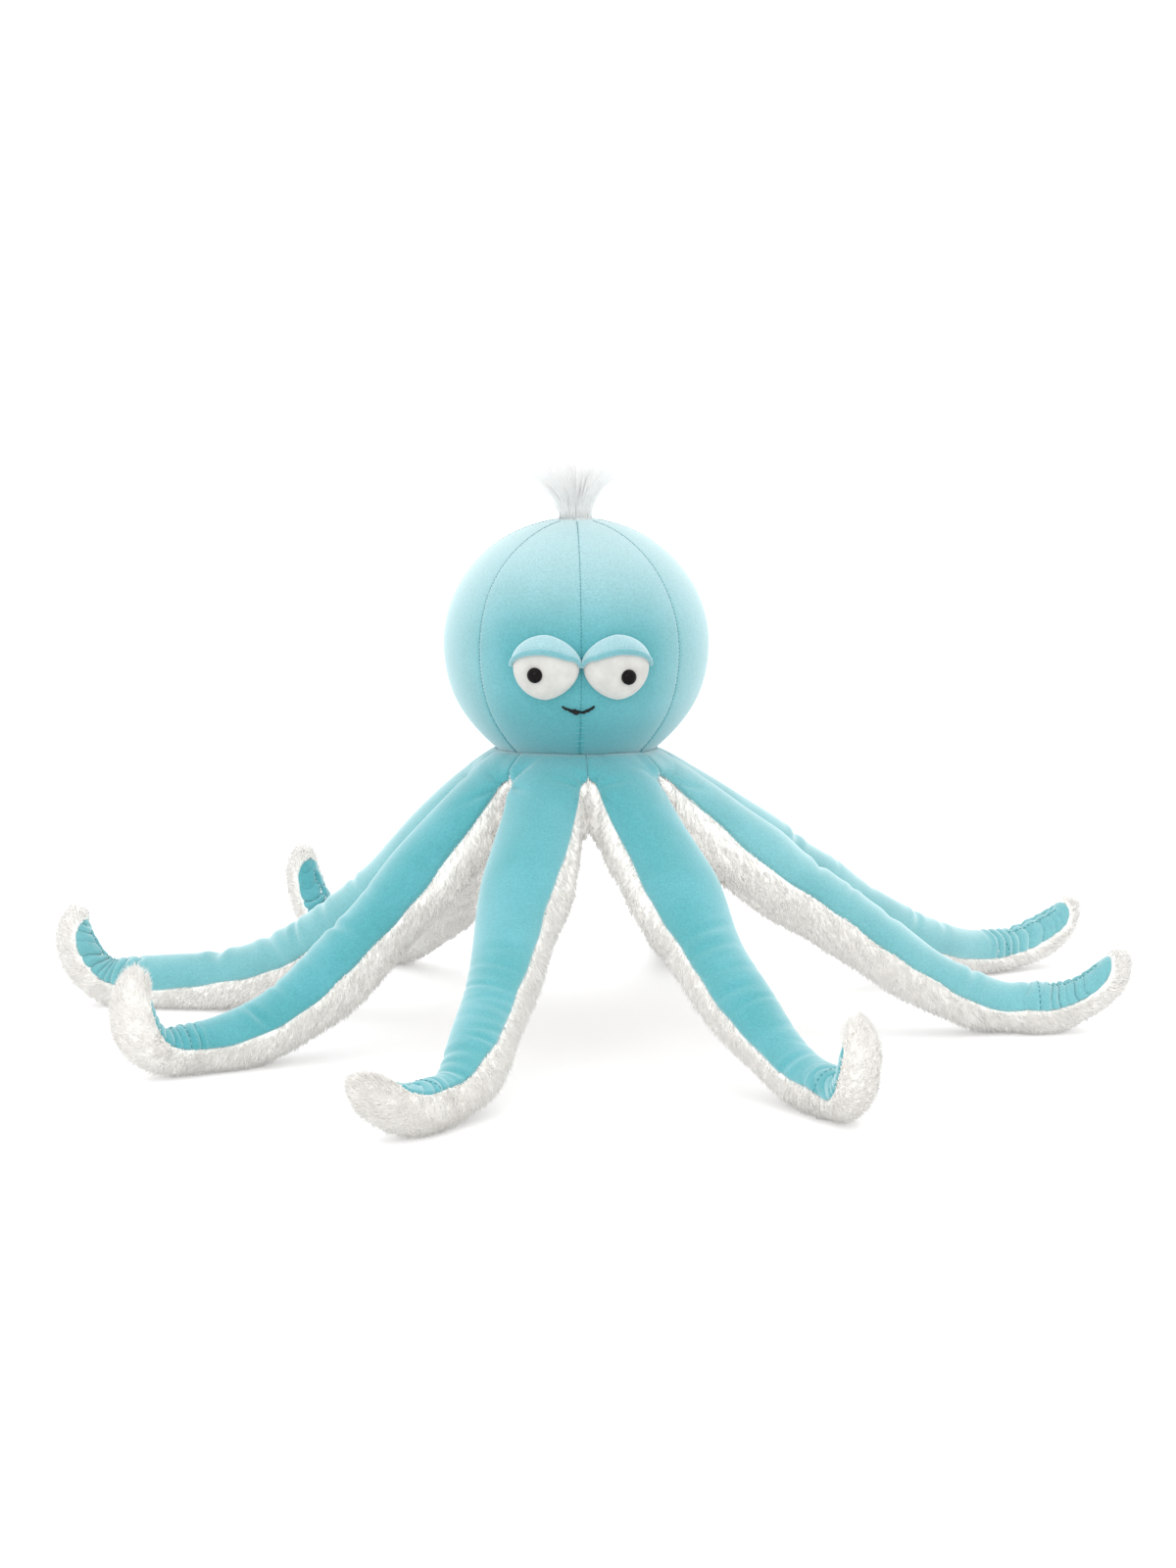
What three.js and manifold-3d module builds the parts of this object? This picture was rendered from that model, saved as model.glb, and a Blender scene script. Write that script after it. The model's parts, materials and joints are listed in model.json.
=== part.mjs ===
// A plush octopus that stands on eight stuffed arms, in millimetres, with +Z up and its face towards -Y.
// Its head is a ball of eight sewn gores over a wad of fibre, its arms are velour above and long pile below,
// and every arm turns at its shoulder and at the start of its curled tip.
import * as THREE from "three";
import { mergeVertices } from "three/addons/utils/BufferGeometryUtils.js";
import Module from "manifold-3d";

const wasm = await Module();
wasm.setup();

// Fabrics and fits
const velourWall = 2;
const pileWall = 4.5;
const fit = 0.3;
const swivelFit = 0.15;
const cutRelief = 0.6;
const overrun = 60;

// Trunk
const armCount = 8;
const hipRadius = 60;
const hipHeight = 117;
const shoulderGap = 1.9;
const neckRise = 34;
const collarCrest = 27;
const collarLip = 25.5;
const collarHem = 23.5;
const collarReach = 56.5;
const collarShares = [0.35, 0.7];
const trunkReach = 50;
const trunkDrop = 6;

// Head
const headRadius = 71;
const neckRadius = 42.4;
const neckDrop = 58;
const crownRise = 66;
const crownOpening = 9.8;
const nodPivotRise = 29;
const goreAngles = [-48, 0, 48, 92, 136, 180, 224, 268];
const seamPull = 1.4;
const nodRange = 12;
const nodSpare = 1.6;
const tuckAngle = 38;
const headTurn = 2.4;

// Tuft
const tuftHeight = 35;
const tuftRootRadius = 8.8;
const tuftWaistRadius = 7.2;
const tuftWaistRise = 7;
const tuftFanRadius = 23;
const tuftDepthShare = 0.7;
const tuftFanShares = [[0.35, 0.3], [0.7, 0.75], [0.9, 1], [0.98, 0.75]];

// Face
const eyeSpacing = 36;
const eyeDrop = 5.8;
const eyeHalfWidth = 17.2;
const eyeHalfHeight = 16;
const eyeBulge = 8.5;
const lidWall = 1.8;
const lidLineRise = 6.8;
const pupilRadius = 4;
const pupilDome = 3;
const pupilShift = 6;
const pupilDrop = 3;
const shankRadius = 1.6;
const shankReach = 10;
const washerRadius = 6;
const washerWall = 1.6;

// Arms
const armTurn = 6.5;
const armReach = 250;
const liftRange = { down: 30, up: 50 };
const footRadius = 13.8;
const soleLength = 18;
const bendOut = 72;
const bendIn = 62;
const leadShare = 0.8;
const rootWrap = 62;
const hollowAngle = 56;
const taperPower = 1.3;
const tipRoundPower = 5;
const velourHalfAngle = 72;
const fibreHole = 1;
const tipLength = 58;
const tipRootRadius = 12.4;
const tipEndRadius = 10;
const tipRange = 35;
// How each arm lies, in degrees but for its shares: swing is how far its foot is off the line of its shoulder,
// slope is how steeply it leaves the shoulder, heading is where the foot points, curl is how far the tip bends
// up and turn is how far it swerves.
const armPoses = [
  { reachShare: 0.98, swing: -1.5, slope: 39, easeShare: 0.5, heading: -22.5, tipShare: 0.84, curl: 52, turn: -32 },
  { reachShare: 0.98, swing: 2.5, slope: 36, easeShare: 0.7, heading: 1.5, tipShare: 1.05, curl: 122, turn: 0 },
  { reachShare: 1, swing: 14.5, slope: 28, easeShare: 0.65, heading: 17.5, tipShare: 0.94, curl: 70, turn: 0 },
  { reachShare: 1.15, swing: 3.5, slope: 31, easeShare: 1, heading: 3.5, tipShare: 1, curl: 62, turn: -10 },
  { reachShare: 0.94, swing: 1.5, slope: 40, easeShare: 1, heading: 5.5, tipShare: 1, curl: 90, turn: 10 },
  { reachShare: 0.97, swing: 4.5, slope: 40, easeShare: 1, heading: 23.5, tipShare: 1.15, curl: 108, turn: 12 },
  { reachShare: 1.03, swing: 2.5, slope: 50, easeShare: 1.75, heading: 8.5, tipShare: 1.06, curl: 112, turn: 5 },
  { reachShare: 0.93, swing: -0.5, slope: 40, easeShare: 1, heading: 3.5, tipShare: 1.08, curl: 122, turn: 0 },
];

// Facets
const topColumns = 4;
const underColumns = 7;
const coreColumns = 10;
const goreColumns = 3;
const roundColumns = 24;
const roomColumns = 16;
const faceColumns = 16;
const armRings = 5;
const capRings = 2;
const tipRings = 4;
const goreRings = 8;
const hollowRings = 3;
const curlSteps = 40;

// Places that follow from the sizes above
const degrees = THREE.MathUtils.degToRad;
const armPitch = 360 / armCount;
const shoulderRadius = hipRadius * Math.sin(degrees(armPitch / 2)) - shoulderGap / 2;
const neckHeight = hipHeight + neckRise;
const headHeight = neckHeight + neckDrop;
const nodHeight = neckHeight + nodPivotRise;
const neckBallRadius = Math.hypot(neckRadius, nodPivotRise);
const neckAngle = THREE.MathUtils.radToDeg(Math.atan2(neckRadius, nodPivotRise));
const neckCupRadius = neckBallRadius + fit;
const lowerHeadDepth = neckDrop / Math.sqrt(1 - (neckRadius / headRadius) ** 2);
const underStep = (360 - 2 * velourHalfAngle) / underColumns;
const footHeight = footRadius * Math.cos(degrees(underStep / 2));
const facetShare = Math.cos(Math.PI / coreColumns) * Math.cos(degrees(hollowAngle / hollowRings / 2));
const socketRadius = (tipRootRadius + swivelFit) / facetShare;

// Materials
const velour = new THREE.MeshStandardMaterial({ color: 0x6cc5ce, roughness: 0.95, metalness: 0 });
const lidVelour = new THREE.MeshStandardMaterial({ color: 0xa5dde2, roughness: 0.95, metalness: 0 });
const longPile = new THREE.MeshStandardMaterial({ color: 0xf3f1ee, roughness: 1, metalness: 0 });
const eyeFelt = new THREE.MeshStandardMaterial({ color: 0xf1efec, roughness: 0.9, metalness: 0 });
const beadPlastic = new THREE.MeshStandardMaterial({ color: 0x14100e, roughness: 0.2, metalness: 0 });
const fibre = new THREE.MeshStandardMaterial({ color: 0xfafafa, roughness: 1, metalness: 0 });

// Solids and meshes

function signedVolume(points, triangles) {
  let sum = 0;
  const cross = new THREE.Vector3();
  for (const [a, b, c] of triangles) sum += points[a].dot(cross.crossVectors(points[b], points[c]));
  return sum / 6;
}

// A closed geometry from points and triangles, with its faces turned outwards and equal points joined.
function closedGeometry(points, triangles) {
  const inward = signedVolume(points, triangles) < 0;
  const corners = triangles.flatMap(([a, b, c]) => (inward ? [a, c, b] : [a, b, c]));
  const geometry = new THREE.BufferGeometry();
  const places = new Float32Array(points.flatMap((p) => [p.x, p.y, p.z]));
  geometry.setAttribute("position", new THREE.BufferAttribute(places, 3));
  geometry.setIndex(corners);
  const merged = mergeVertices(geometry, 1e-4);
  const kept = [];
  const index = merged.index.array;
  for (let i = 0; i < index.length; i += 3) {
    const [a, b, c] = index.slice(i, i + 3);
    if (a !== b && b !== c && a !== c) kept.push(a, b, c);
  }
  merged.setIndex(kept);
  merged.computeVertexNormals();
  return merged;
}

function solidFrom(geometry) {
  const bare = geometry.clone();
  bare.deleteAttribute("normal");
  bare.deleteAttribute("uv");
  const merged = mergeVertices(bare, 1e-4);
  const vertProperties = new Float32Array(merged.attributes.position.array);
  const triVerts = new Uint32Array(merged.index.array);
  return new wasm.Manifold(new wasm.Mesh({ numProp: 3, vertProperties, triVerts }));
}

function geometryFrom(solid) {
  const { vertProperties, triVerts } = solid.getMesh();
  const geometry = new THREE.BufferGeometry();
  geometry.setAttribute("position", new THREE.BufferAttribute(new Float32Array(vertProperties), 3));
  geometry.setIndex(Array.from(triVerts));
  geometry.computeVertexNormals();
  return geometry;
}

function named(name, geometry, material) {
  const mesh = new THREE.Mesh(geometry, material);
  mesh.name = name;
  return mesh;
}

// A solid of revolution about Z, from an outline of [radius, height] that starts and ends on the axis
// or closes on itself.
function turned(outline, columns = roundColumns) {
  const profile = outline.map(([radius, height]) => new THREE.Vector2(radius, height));
  const lathe = new THREE.LatheGeometry(profile, columns);
  lathe.rotateX(Math.PI / 2);
  const index = Array.from(lathe.index.array);
  const points = [];
  for (let i = 0; i < lathe.attributes.position.count; i++)
    points.push(new THREE.Vector3().fromBufferAttribute(lathe.attributes.position, i));
  const triangles = [];
  for (let i = 0; i < index.length; i += 3) triangles.push(index.slice(i, i + 3));
  return closedGeometry(points, triangles);
}

// A wall between an inner and an outer line of as many points, each [distance along the path, radius], swept
// round the path between two angles from its top. Its sides stand half a fit back from those angles.
function sweptRound(inner, outer, { from, to, columns }, frameAt, shaped = (along, radius) => radius) {
  const points = [];
  const triangles = [];
  const profile = [...inner, ...outer.toReversed()];
  const count = profile.length;
  for (let column = 0; column <= columns; column++)
    for (const [along, radius] of profile) {
      const setBack = fit / 2 / Math.max(radius, fibreHole);
      const share = column / columns;
      const angle = THREE.MathUtils.lerp(degrees(from) + setBack, degrees(to) - setBack, share);
      const { origin, up, side } = frameAt(along);
      const out = shaped(along, radius, share);
      const upward = up.clone().multiplyScalar(out * Math.cos(angle));
      const sideways = side.clone().multiplyScalar(out * Math.sin(angle));
      points.push(origin.clone().add(upward).add(sideways));
    }
  const at = (column, row) => column * count + (row % count);
  for (let column = 0; column < columns; column++)
    for (let row = 0; row < count; row++) {
      triangles.push([at(column, row), at(column + 1, row), at(column + 1, row + 1)]);
      triangles.push([at(column, row), at(column + 1, row + 1), at(column, row + 1)]);
    }
  for (let row = 0; row < inner.length - 1; row++) {
    const across = count - 1 - row;
    triangles.push([at(0, row), at(0, row + 1), at(0, across - 1)], [at(0, row), at(0, across - 1), at(0, across)]);
    triangles.push([at(columns, row), at(columns, across - 1), at(columns, row + 1)]);
    triangles.push([at(columns, row), at(columns, across), at(columns, across - 1)]);
  }
  return closedGeometry(points, triangles);
}

// A profile of [distance along the path, radius] from one pole to the other, all the way round the path.
// The radius is multiplied by a share that depends on the angle off the top.
function turnedAlong(profile, columns, frameAt, shareAt) {
  const points = [];
  const triangles = [];
  for (let column = 0; column < columns; column++)
    for (const [along, radius] of profile) {
      const turn = (360 * column) / columns;
      const out = radius * shareAt(Math.min(turn, 360 - turn));
      const { origin, up, side } = frameAt(along);
      const upward = up.clone().multiplyScalar(out * Math.cos(degrees(turn)));
      const sideways = side.clone().multiplyScalar(out * Math.sin(degrees(turn)));
      points.push(origin.clone().add(upward).add(sideways));
    }
  const at = (column, row) => (column % columns) * profile.length + row;
  for (let column = 0; column < columns; column++)
    for (let row = 0; row < profile.length - 1; row++) {
      triangles.push([at(column, row), at(column + 1, row), at(column + 1, row + 1)]);
      triangles.push([at(column, row), at(column + 1, row + 1), at(column, row + 1)]);
    }
  return closedGeometry(points, triangles);
}

// Numbers from the first to the last, in equal steps.
function spread(first, last, steps) {
  return Array.from({ length: steps + 1 }, (_, i) => THREE.MathUtils.lerp(first, last, i / steps));
}

// Arms

// The centre line of one arm in its shoulder's frame: +X runs out from the trunk and the origin is the
// shoulder's centre. It slopes to its sole, lies flat there and curls up in the tip.
class ArmPath {
  constructor({ reachShare, swing, slope, easeShare, heading, tipShare, curl, turn }) {
    const reach = armReach * reachShare;
    const flat = (angle) => new THREE.Vector3(Math.cos(degrees(angle)), Math.sin(degrees(angle)), 0);
    const foot = flat(swing).multiplyScalar(reach);
    foot.add(new THREE.Vector3(-hipRadius, 0, footHeight - hipHeight));
    const ahead = flat(heading);
    const ankle = foot.clone().addScaledVector(ahead, -soleLength);
    const lead = flat(swing * leadShare).multiplyScalar(bendOut * Math.cos(degrees(slope)));
    lead.z = -bendOut * Math.sin(degrees(slope));
    const ease = ankle.clone().addScaledVector(ahead, -bendIn * easeShare);
    const limb = new THREE.CubicBezierCurve3(new THREE.Vector3(), lead, ease, ankle);
    const bend = (tipLength * tipShare) / degrees(curl);
    const handle = (4 / 3) * Math.tan(degrees(curl) / 4) * bend;
    const drift = flat(heading + turn / 2);
    const end = foot.clone().addScaledVector(drift, bend * Math.sin(degrees(curl)));
    end.z += bend * (1 - Math.cos(degrees(curl)));
    const away = flat(heading + turn).multiplyScalar(Math.cos(degrees(curl)));
    away.z = Math.sin(degrees(curl));
    const tip = new THREE.CubicBezierCurve3(
      foot,
      foot.clone().addScaledVector(ahead, handle),
      end.clone().addScaledVector(away, -handle),
      end,
    );
    this.route = new THREE.CurvePath();
    this.route.add(limb);
    this.route.add(new THREE.LineCurve3(ankle, foot));
    this.route.add(tip);
    const lengths = this.route.getCurveLengths();
    this.soleStart = lengths[0];
    this.tipStart = lengths[1];
    this.length = lengths[2];
    this.carried = this.carriedSides();
  }

  tangentAt(along) {
    return this.route.getTangentAt(THREE.MathUtils.clamp(along / this.length, 0, 1));
  }

  // The up side of the tip at even steps, carried on round its curl without turning about the path.
  carriedSides() {
    const sides = [];
    let up = new THREE.Vector3(0, 0, 1);
    for (const along of spread(this.tipStart, this.length, curlSteps)) {
      const tangent = this.tangentAt(along);
      up = up.clone().addScaledVector(tangent, -up.dot(tangent)).normalize();
      sides.push(up);
    }
    return sides;
  }

  // The up side stays upright to the tip, and is carried on from there.
  upAt(along) {
    const place = ((along - this.tipStart) / (this.length - this.tipStart)) * curlSteps;
    const low = THREE.MathUtils.clamp(Math.floor(place), 0, curlSteps - 1);
    const share = THREE.MathUtils.clamp(place - low, 0, 1);
    return this.carried[low].clone().lerp(this.carried[low + 1], share);
  }

  // The frame at a distance from the shoulder. Before its start the path runs on straight.
  frameAt(along, start = 0) {
    const within = THREE.MathUtils.clamp(along, start, this.length);
    const tangent = this.tangentAt(within);
    const origin = this.route.getPointAt(within / this.length).addScaledVector(tangent, along - within);
    const up = this.upAt(within);
    up.addScaledVector(tangent, -up.dot(tangent)).normalize();
    const side = new THREE.Vector3().crossVectors(up, tangent);
    return { origin, tangent, up, side };
  }
}

// The outside radius of the limb, which thins from the shoulder to the sole.
function limbRadius(along, path) {
  const share = THREE.MathUtils.clamp(along / path.soleStart, 0, 1);
  return footRadius + (shoulderRadius - footRadius) * (1 - share ** taperPower);
}

// The round root of a limb or a tip: a ball about its hinge, from an angle behind it to its widest ring.
function ballProfile(radius, hinge, firstAngle, rings) {
  return spread(firstAngle, 0, rings).map((angle) => [
    hinge - radius * Math.sin(degrees(angle)),
    radius * Math.cos(degrees(angle)),
  ]);
}

// The ring stations of the limb between its shoulder and the edge of the tip's socket.
function limbStations(path) {
  const rim = path.tipStart - tipRootRadius * Math.sin(degrees(tipRange));
  return [...spread(0, path.soleStart, armRings).slice(1), rim];
}

// One fabric panel of a limb: a wall of even thickness, thinned where the tip's ball needs the room.
function limbPanel(path, wall, span) {
  const stations = limbStations(path);
  const outer = [
    ...ballProfile(shoulderRadius, 0, rootWrap, capRings),
    ...stations.map((along) => [along, limbRadius(along, path)]),
  ];
  const inner = [
    ...ballProfile(shoulderRadius - wall, 0, rootWrap, capRings),
    ...stations.map((along) => {
      const ball = Math.sqrt(Math.max(socketRadius ** 2 - (path.tipStart - along) ** 2, 0));
      return [along, Math.max(limbRadius(along, path) - wall, ball)];
    }),
  ];
  return sweptRound(inner, outer, span, (along) => path.frameAt(along));
}

// The radius that is left inside the flat facets of a fabric wall.
function radiusWithin(radius, wall, step) {
  return (radius - wall) * Math.cos(degrees(step / 2)) - fit;
}

// The fibre in a limb: a ball at the shoulder, a tapered wad and a hollow end that the tip's ball turns in.
// It is fuller on top, where the fabric is thinner.
function limbFibre(path) {
  const within = (along) => radiusWithin(limbRadius(along, path), pileWall, underStep);
  const lip = within(path.soleStart);
  const lipAngle = THREE.MathUtils.radToDeg(Math.asin(lip / socketRadius));
  const root = within(0) * Math.cos(degrees(rootWrap / capRings / 2));
  const profile = [
    ...ballProfile(root, 0, 90, capRings + 1),
    ...spread(0, path.soleStart, armRings).slice(1).map((along) => [along, within(along)]),
    ...spread(lipAngle, 0, hollowRings).map((angle) => [
      path.tipStart - socketRadius * Math.cos(degrees(angle)),
      socketRadius * Math.sin(degrees(angle)),
    ]),
  ];
  const topStep = (2 * velourHalfAngle) / topColumns;
  const topShare = radiusWithin(shoulderRadius, velourWall, topStep) / within(0);
  const step = 360 / coreColumns;
  const shareAt = (angle) => (angle + step <= velourHalfAngle ? topShare : 1);
  return turnedAlong(profile, coreColumns, (along) => path.frameAt(along), shareAt);
}

// The outside radius of the tip, which tapers and then rounds off.
function tipRadius(share) {
  const taper = THREE.MathUtils.lerp(tipRootRadius, tipEndRadius, share);
  return taper * Math.sqrt(Math.max(1 - share ** tipRoundPower, 0));
}

// One half of a tip, filled to the middle: the fabric and the fibre that is caught in it.
function tipHalf(path, span) {
  const length = path.length - path.tipStart;
  const stations = spread(0, Math.PI / 2, tipRings).map((angle) => Math.sin(angle));
  const nose = 2 * fibreHole;
  const rootAngle = THREE.MathUtils.radToDeg(Math.acos(nose / tipRootRadius));
  const outer = [
    ...ballProfile(tipRootRadius, path.tipStart, rootAngle, capRings),
    ...stations.slice(1).map((share) => [path.tipStart + share * length, Math.max(tipRadius(share), nose)]),
  ];
  const inner = outer.map(([along]) => [along, fibreHole]);
  return sweptRound(inner, outer, span, (along) => path.frameAt(along, path.tipStart));
}

// An arm hangs in a group at its shoulder, which faces outwards, and its tip in a group at the tip's hinge.
function arm(number, pose) {
  const path = new ArmPath(pose);
  const top = { from: -velourHalfAngle, to: velourHalfAngle, columns: topColumns };
  const under = { from: velourHalfAngle, to: 360 - velourHalfAngle, columns: underColumns };
  const shoulder = new THREE.Group();
  shoulder.add(
    named(`arm_${number}_top`, limbPanel(path, velourWall, top), velour),
    named(`arm_${number}_under`, limbPanel(path, pileWall, under), longPile),
    named(`arm_${number}_stuffing`, limbFibre(path), fibre),
  );
  const { origin, tangent, up, side } = path.frameAt(path.tipStart);
  const hinge = new THREE.Group();
  hinge.position.copy(origin);
  hinge.setRotationFromMatrix(new THREE.Matrix4().makeBasis(tangent, side, up));
  hinge.updateMatrix();
  const home = hinge.matrix.clone().invert();
  hinge.add(
    named(`arm_${number}_tip_top`, tipHalf(path, top).applyMatrix4(home), velour),
    named(`arm_${number}_tip_under`, tipHalf(path, under).applyMatrix4(home), longPile),
  );
  shoulder.add(hinge);
  const facing = shoulderAngle(number);
  shoulder.position.set(hipRadius * Math.cos(facing), hipRadius * Math.sin(facing), hipHeight);
  shoulder.rotation.z = facing;
  return shoulder;
}

// The direction in which a shoulder faces, from +X. The first two arms are either side of the face.
function shoulderAngle(number) {
  return degrees(-90 + armPitch * (number - 1.5) + armTurn);
}

// Trunk

// The room that the arms take up as they rise and fall, for the trunk to be cut by.
function armRoom() {
  const radius = (shoulderRadius + fit) / Math.cos(Math.PI / roomColumns) ** 2;
  const ball = new THREE.SphereGeometry(radius, roomColumns, roomColumns / 2);
  const rod = new THREE.CylinderGeometry(radius, radius, overrun, roomColumns);
  rod.rotateZ(-Math.PI / 2);
  rod.translate(overrun / 2, 0, 0);
  const room = armPoses.flatMap(({ swing, slope }, i) => {
    const facing = shoulderAngle(i + 1);
    const [x, y] = [hipRadius * Math.cos(facing), hipRadius * Math.sin(facing)];
    const place = new THREE.Matrix4().makeTranslation(x, y, hipHeight);
    const lead = new THREE.Matrix4().makeRotationZ(facing + degrees(swing * leadShare));
    const rods = [slope - liftRange.up, slope, slope + liftRange.down].map((angle) => {
      const tilt = new THREE.Matrix4().makeRotationY(degrees(angle));
      return solidFrom(rod.clone().applyMatrix4(place.clone().multiply(lead).multiply(tilt)));
    });
    return [solidFrom(ball.clone().applyMatrix4(place)), ...rods];
  });
  return wasm.Manifold.union(room);
}

// A point on the cup that the head's neck turns in, at an angle off straight down.
function cupPoint(angle) {
  return [neckCupRadius * Math.sin(degrees(angle)), nodHeight - neckCupRadius * Math.cos(degrees(angle))];
}

function cupArc(from, to, steps) {
  return spread(from, to, steps).map(cupPoint);
}

// The angle off straight down at which the cup reaches a height.
function cupAngle(height) {
  return THREE.MathUtils.radToDeg(Math.acos((nodHeight - height) / neckCupRadius));
}

function trunk() {
  const room = armRoom();
  const rim = neckAngle - nodRange - nodSpare;
  const hem = hipHeight + collarHem;
  const [rimRadius] = cupPoint(rim);
  const collarWidth = collarReach - rimRadius;
  const collar = turned([
    ...cupArc(cupAngle(hem), rim, 2),
    ...collarShares.map((share) => [rimRadius + collarWidth * share, hipHeight + collarCrest]),
    [collarReach, hipHeight + collarLip],
    [collarReach, hem],
    cupPoint(cupAngle(hem)),
  ]);
  const seat = hem - fit;
  const belly = hipHeight - trunkDrop;
  const wad = turned([
    ...cupArc(0, cupAngle(seat), 4),
    [trunkReach, seat],
    [trunkReach, belly],
    [0, belly],
  ]);
  const base = turned([
    [0, belly - fit],
    [trunkReach, belly - fit],
    [trunkReach - pileWall / 2, belly - fit - pileWall],
    [0, belly - fit - pileWall],
  ]);
  const group = new THREE.Group();
  group.add(
    named("collar", geometryFrom(solidFrom(collar).subtract(room)), velour),
    named("trunk_stuffing", geometryFrom(solidFrom(wad).subtract(room)), fibre),
    named("base_panel", geometryFrom(solidFrom(base).subtract(room)), longPile),
  );
  return group;
}

// Head

// The radius of the head without its seams, at a height above its widest level.
function headOutline(rise) {
  const depth = rise > 0 ? crownRise : lowerHeadDepth;
  return headRadius * Math.sqrt(Math.max(1 - (rise / depth) ** 2, 0));
}

// The outer line of a gore as [height above the widest level, radius], from its tuck under the neck
// to the opening at the crown.
function goreLine(inset) {
  const tuck = spread(tuckAngle, neckAngle, 2).map((angle) => [
    nodHeight - headHeight - (neckBallRadius - inset) * Math.cos(degrees(angle)),
    (neckBallRadius - inset) * Math.sin(degrees(angle)),
  ]);
  const low = -Math.asin(neckDrop / lowerHeadDepth);
  const high = Math.acos(crownOpening / headRadius);
  const ball = spread(low, high, goreRings).map((angle) => {
    const depth = angle > 0 ? crownRise : lowerHeadDepth;
    const rise = depth * Math.sin(angle);
    return [rise * (1 - inset / depth), headOutline(rise) * (1 - inset / headRadius)];
  });
  return [...tuck.slice(0, -1), ...ball];
}

// How far a gore's outside lies in from the ball: most at its two seams and nothing in its middle.
function seamedRadius(along, radius, share) {
  return radius - seamPull * (1 - Math.sin(Math.PI * share)) * (radius / headRadius);
}

const upright = (along) => ({
  origin: new THREE.Vector3(0, 0, along),
  up: new THREE.Vector3(0, -1, 0),
  side: new THREE.Vector3(1, 0, 0),
});

function gore(from, to) {
  return sweptRound(goreLine(velourWall), goreLine(0), { from, to, columns: goreColumns }, upright, seamedRadius);
}

// The level of the tuft's hinge, which is the middle of the gores' edge at the crown.
function tuftHingeRise() {
  const [outerEdge] = goreLine(0).at(-1);
  const [innerEdge] = goreLine(velourWall).at(-1);
  return (outerEdge + innerEdge) / 2;
}

// The fibre in the head, with a socket in its crown for the root of the tuft.
function headFibre() {
  const inset = velourWall + fit + seamPull;
  const line = goreLine(inset).map(([rise, radius]) => [radius, rise]);
  const foot = nodHeight - headHeight - (neckBallRadius - inset);
  const [, brim] = line.at(-1);
  const socket = tuftRootRadius + cutRelief;
  const brimAngle = THREE.MathUtils.radToDeg(Math.acos((tuftHingeRise() - brim) / socket));
  const hollow = spread(brimAngle, 0, hollowRings).map((angle) => [
    socket * Math.sin(degrees(angle)),
    tuftHingeRise() - socket * Math.cos(degrees(angle)),
  ]);
  return turned([[0, foot], ...line, ...hollow]);
}

// The outside of the head, for what is sewn to it to be cut by.
function headForm(proud) {
  const outline = spread(-90, 90, goreRings * 2).map((angle) => {
    const depth = angle > 0 ? crownRise : lowerHeadDepth;
    const radius = Math.abs(angle) < 90 ? (headRadius + proud) * Math.cos(degrees(angle)) : 0;
    return [radius, (depth + proud) * Math.sin(degrees(angle))];
  });
  return solidFrom(turned(outline, roundColumns * 2));
}

// Tuft

// A brush of pile on a ball that turns in the crown: a narrow waist, then a fan that is wider than deep.
function tuft() {
  const fan = tuftHeight - tuftWaistRise;
  const spreadRadius = tuftFanRadius - tuftWaistRadius;
  const outline = [
    ...spread(0, 90, capRings + 1).map((angle) => [
      tuftRootRadius * Math.sin(degrees(angle)),
      -tuftRootRadius * Math.cos(degrees(angle)),
    ]),
    [tuftWaistRadius, tuftWaistRise],
    ...tuftFanShares.map(([rise, out]) => [tuftWaistRadius + spreadRadius * out, tuftWaistRise + fan * rise]),
    [0, tuftHeight],
  ];
  const body = turned(outline, roundColumns);
  const places = body.attributes.position;
  for (let i = 0; i < places.count; i++) {
    const risen = THREE.MathUtils.smoothstep(places.getZ(i), 0, tuftWaistRise + fan / 2);
    places.setY(i, places.getY(i) * THREE.MathUtils.lerp(1, tuftDepthShare, risen));
  }
  body.computeVertexNormals();
  return body;
}

// Face

function ellipsoid(halfWidth, halfDepth, halfHeight) {
  const ball = new THREE.SphereGeometry(1, faceColumns, faceColumns / 2);
  ball.rotateX(Math.PI / 2);
  ball.scale(halfWidth, halfDepth, halfHeight);
  return ball;
}

// The place on the face where an eye sits, with its -Y out of the head. Side is -1 or 1.
function eyePlace(side) {
  const angle = Math.asin((side * eyeSpacing) / 2 / headRadius);
  const out = new THREE.Vector3(headRadius * Math.sin(angle), -headRadius * Math.cos(angle), -eyeDrop);
  return new THREE.Matrix4().makeTranslation(out).multiply(new THREE.Matrix4().makeRotationZ(angle));
}

// A solid of an eye, from a geometry in the eye's own frame.
function inEye(side, geometry) {
  return solidFrom(geometry.clone().applyMatrix4(eyePlace(side)));
}

// A rod along the line of the bead's shank, between two depths from the eye's tangent plane.
function eyeRod(side, radius, from, to) {
  const rod = new THREE.CylinderGeometry(radius, radius, to - from, coreColumns);
  rod.translate(side * pupilShift, (from + to) / 2, -pupilDrop);
  return inEye(side, rod);
}

function padForm(side, proud) {
  return inEye(side, ellipsoid(eyeHalfWidth + proud, eyeBulge + proud, eyeHalfHeight + proud));
}

function eyePad(side) {
  const shankHole = eyeRod(side, shankRadius + fit, -overrun, overrun);
  return padForm(side, 0).subtract(headForm(fit)).subtract(shankHole);
}

// An eyelid is the part of a shell round the pad that lies above the lid line.
function eyelid(side) {
  const above = new THREE.BoxGeometry(overrun, overrun, overrun);
  above.translate(0, 0, lidLineRise + overrun / 2);
  const shell = padForm(side, fit + lidWall).subtract(padForm(side, fit)).subtract(headForm(fit));
  return shell.intersect(inEye(side, above));
}

// How far the pad stands out of the eye's tangent plane where the bead sits.
function padRise() {
  return eyeBulge * Math.sqrt(1 - (pupilShift / eyeHalfWidth) ** 2 - (pupilDrop / eyeHalfHeight) ** 2);
}

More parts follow.
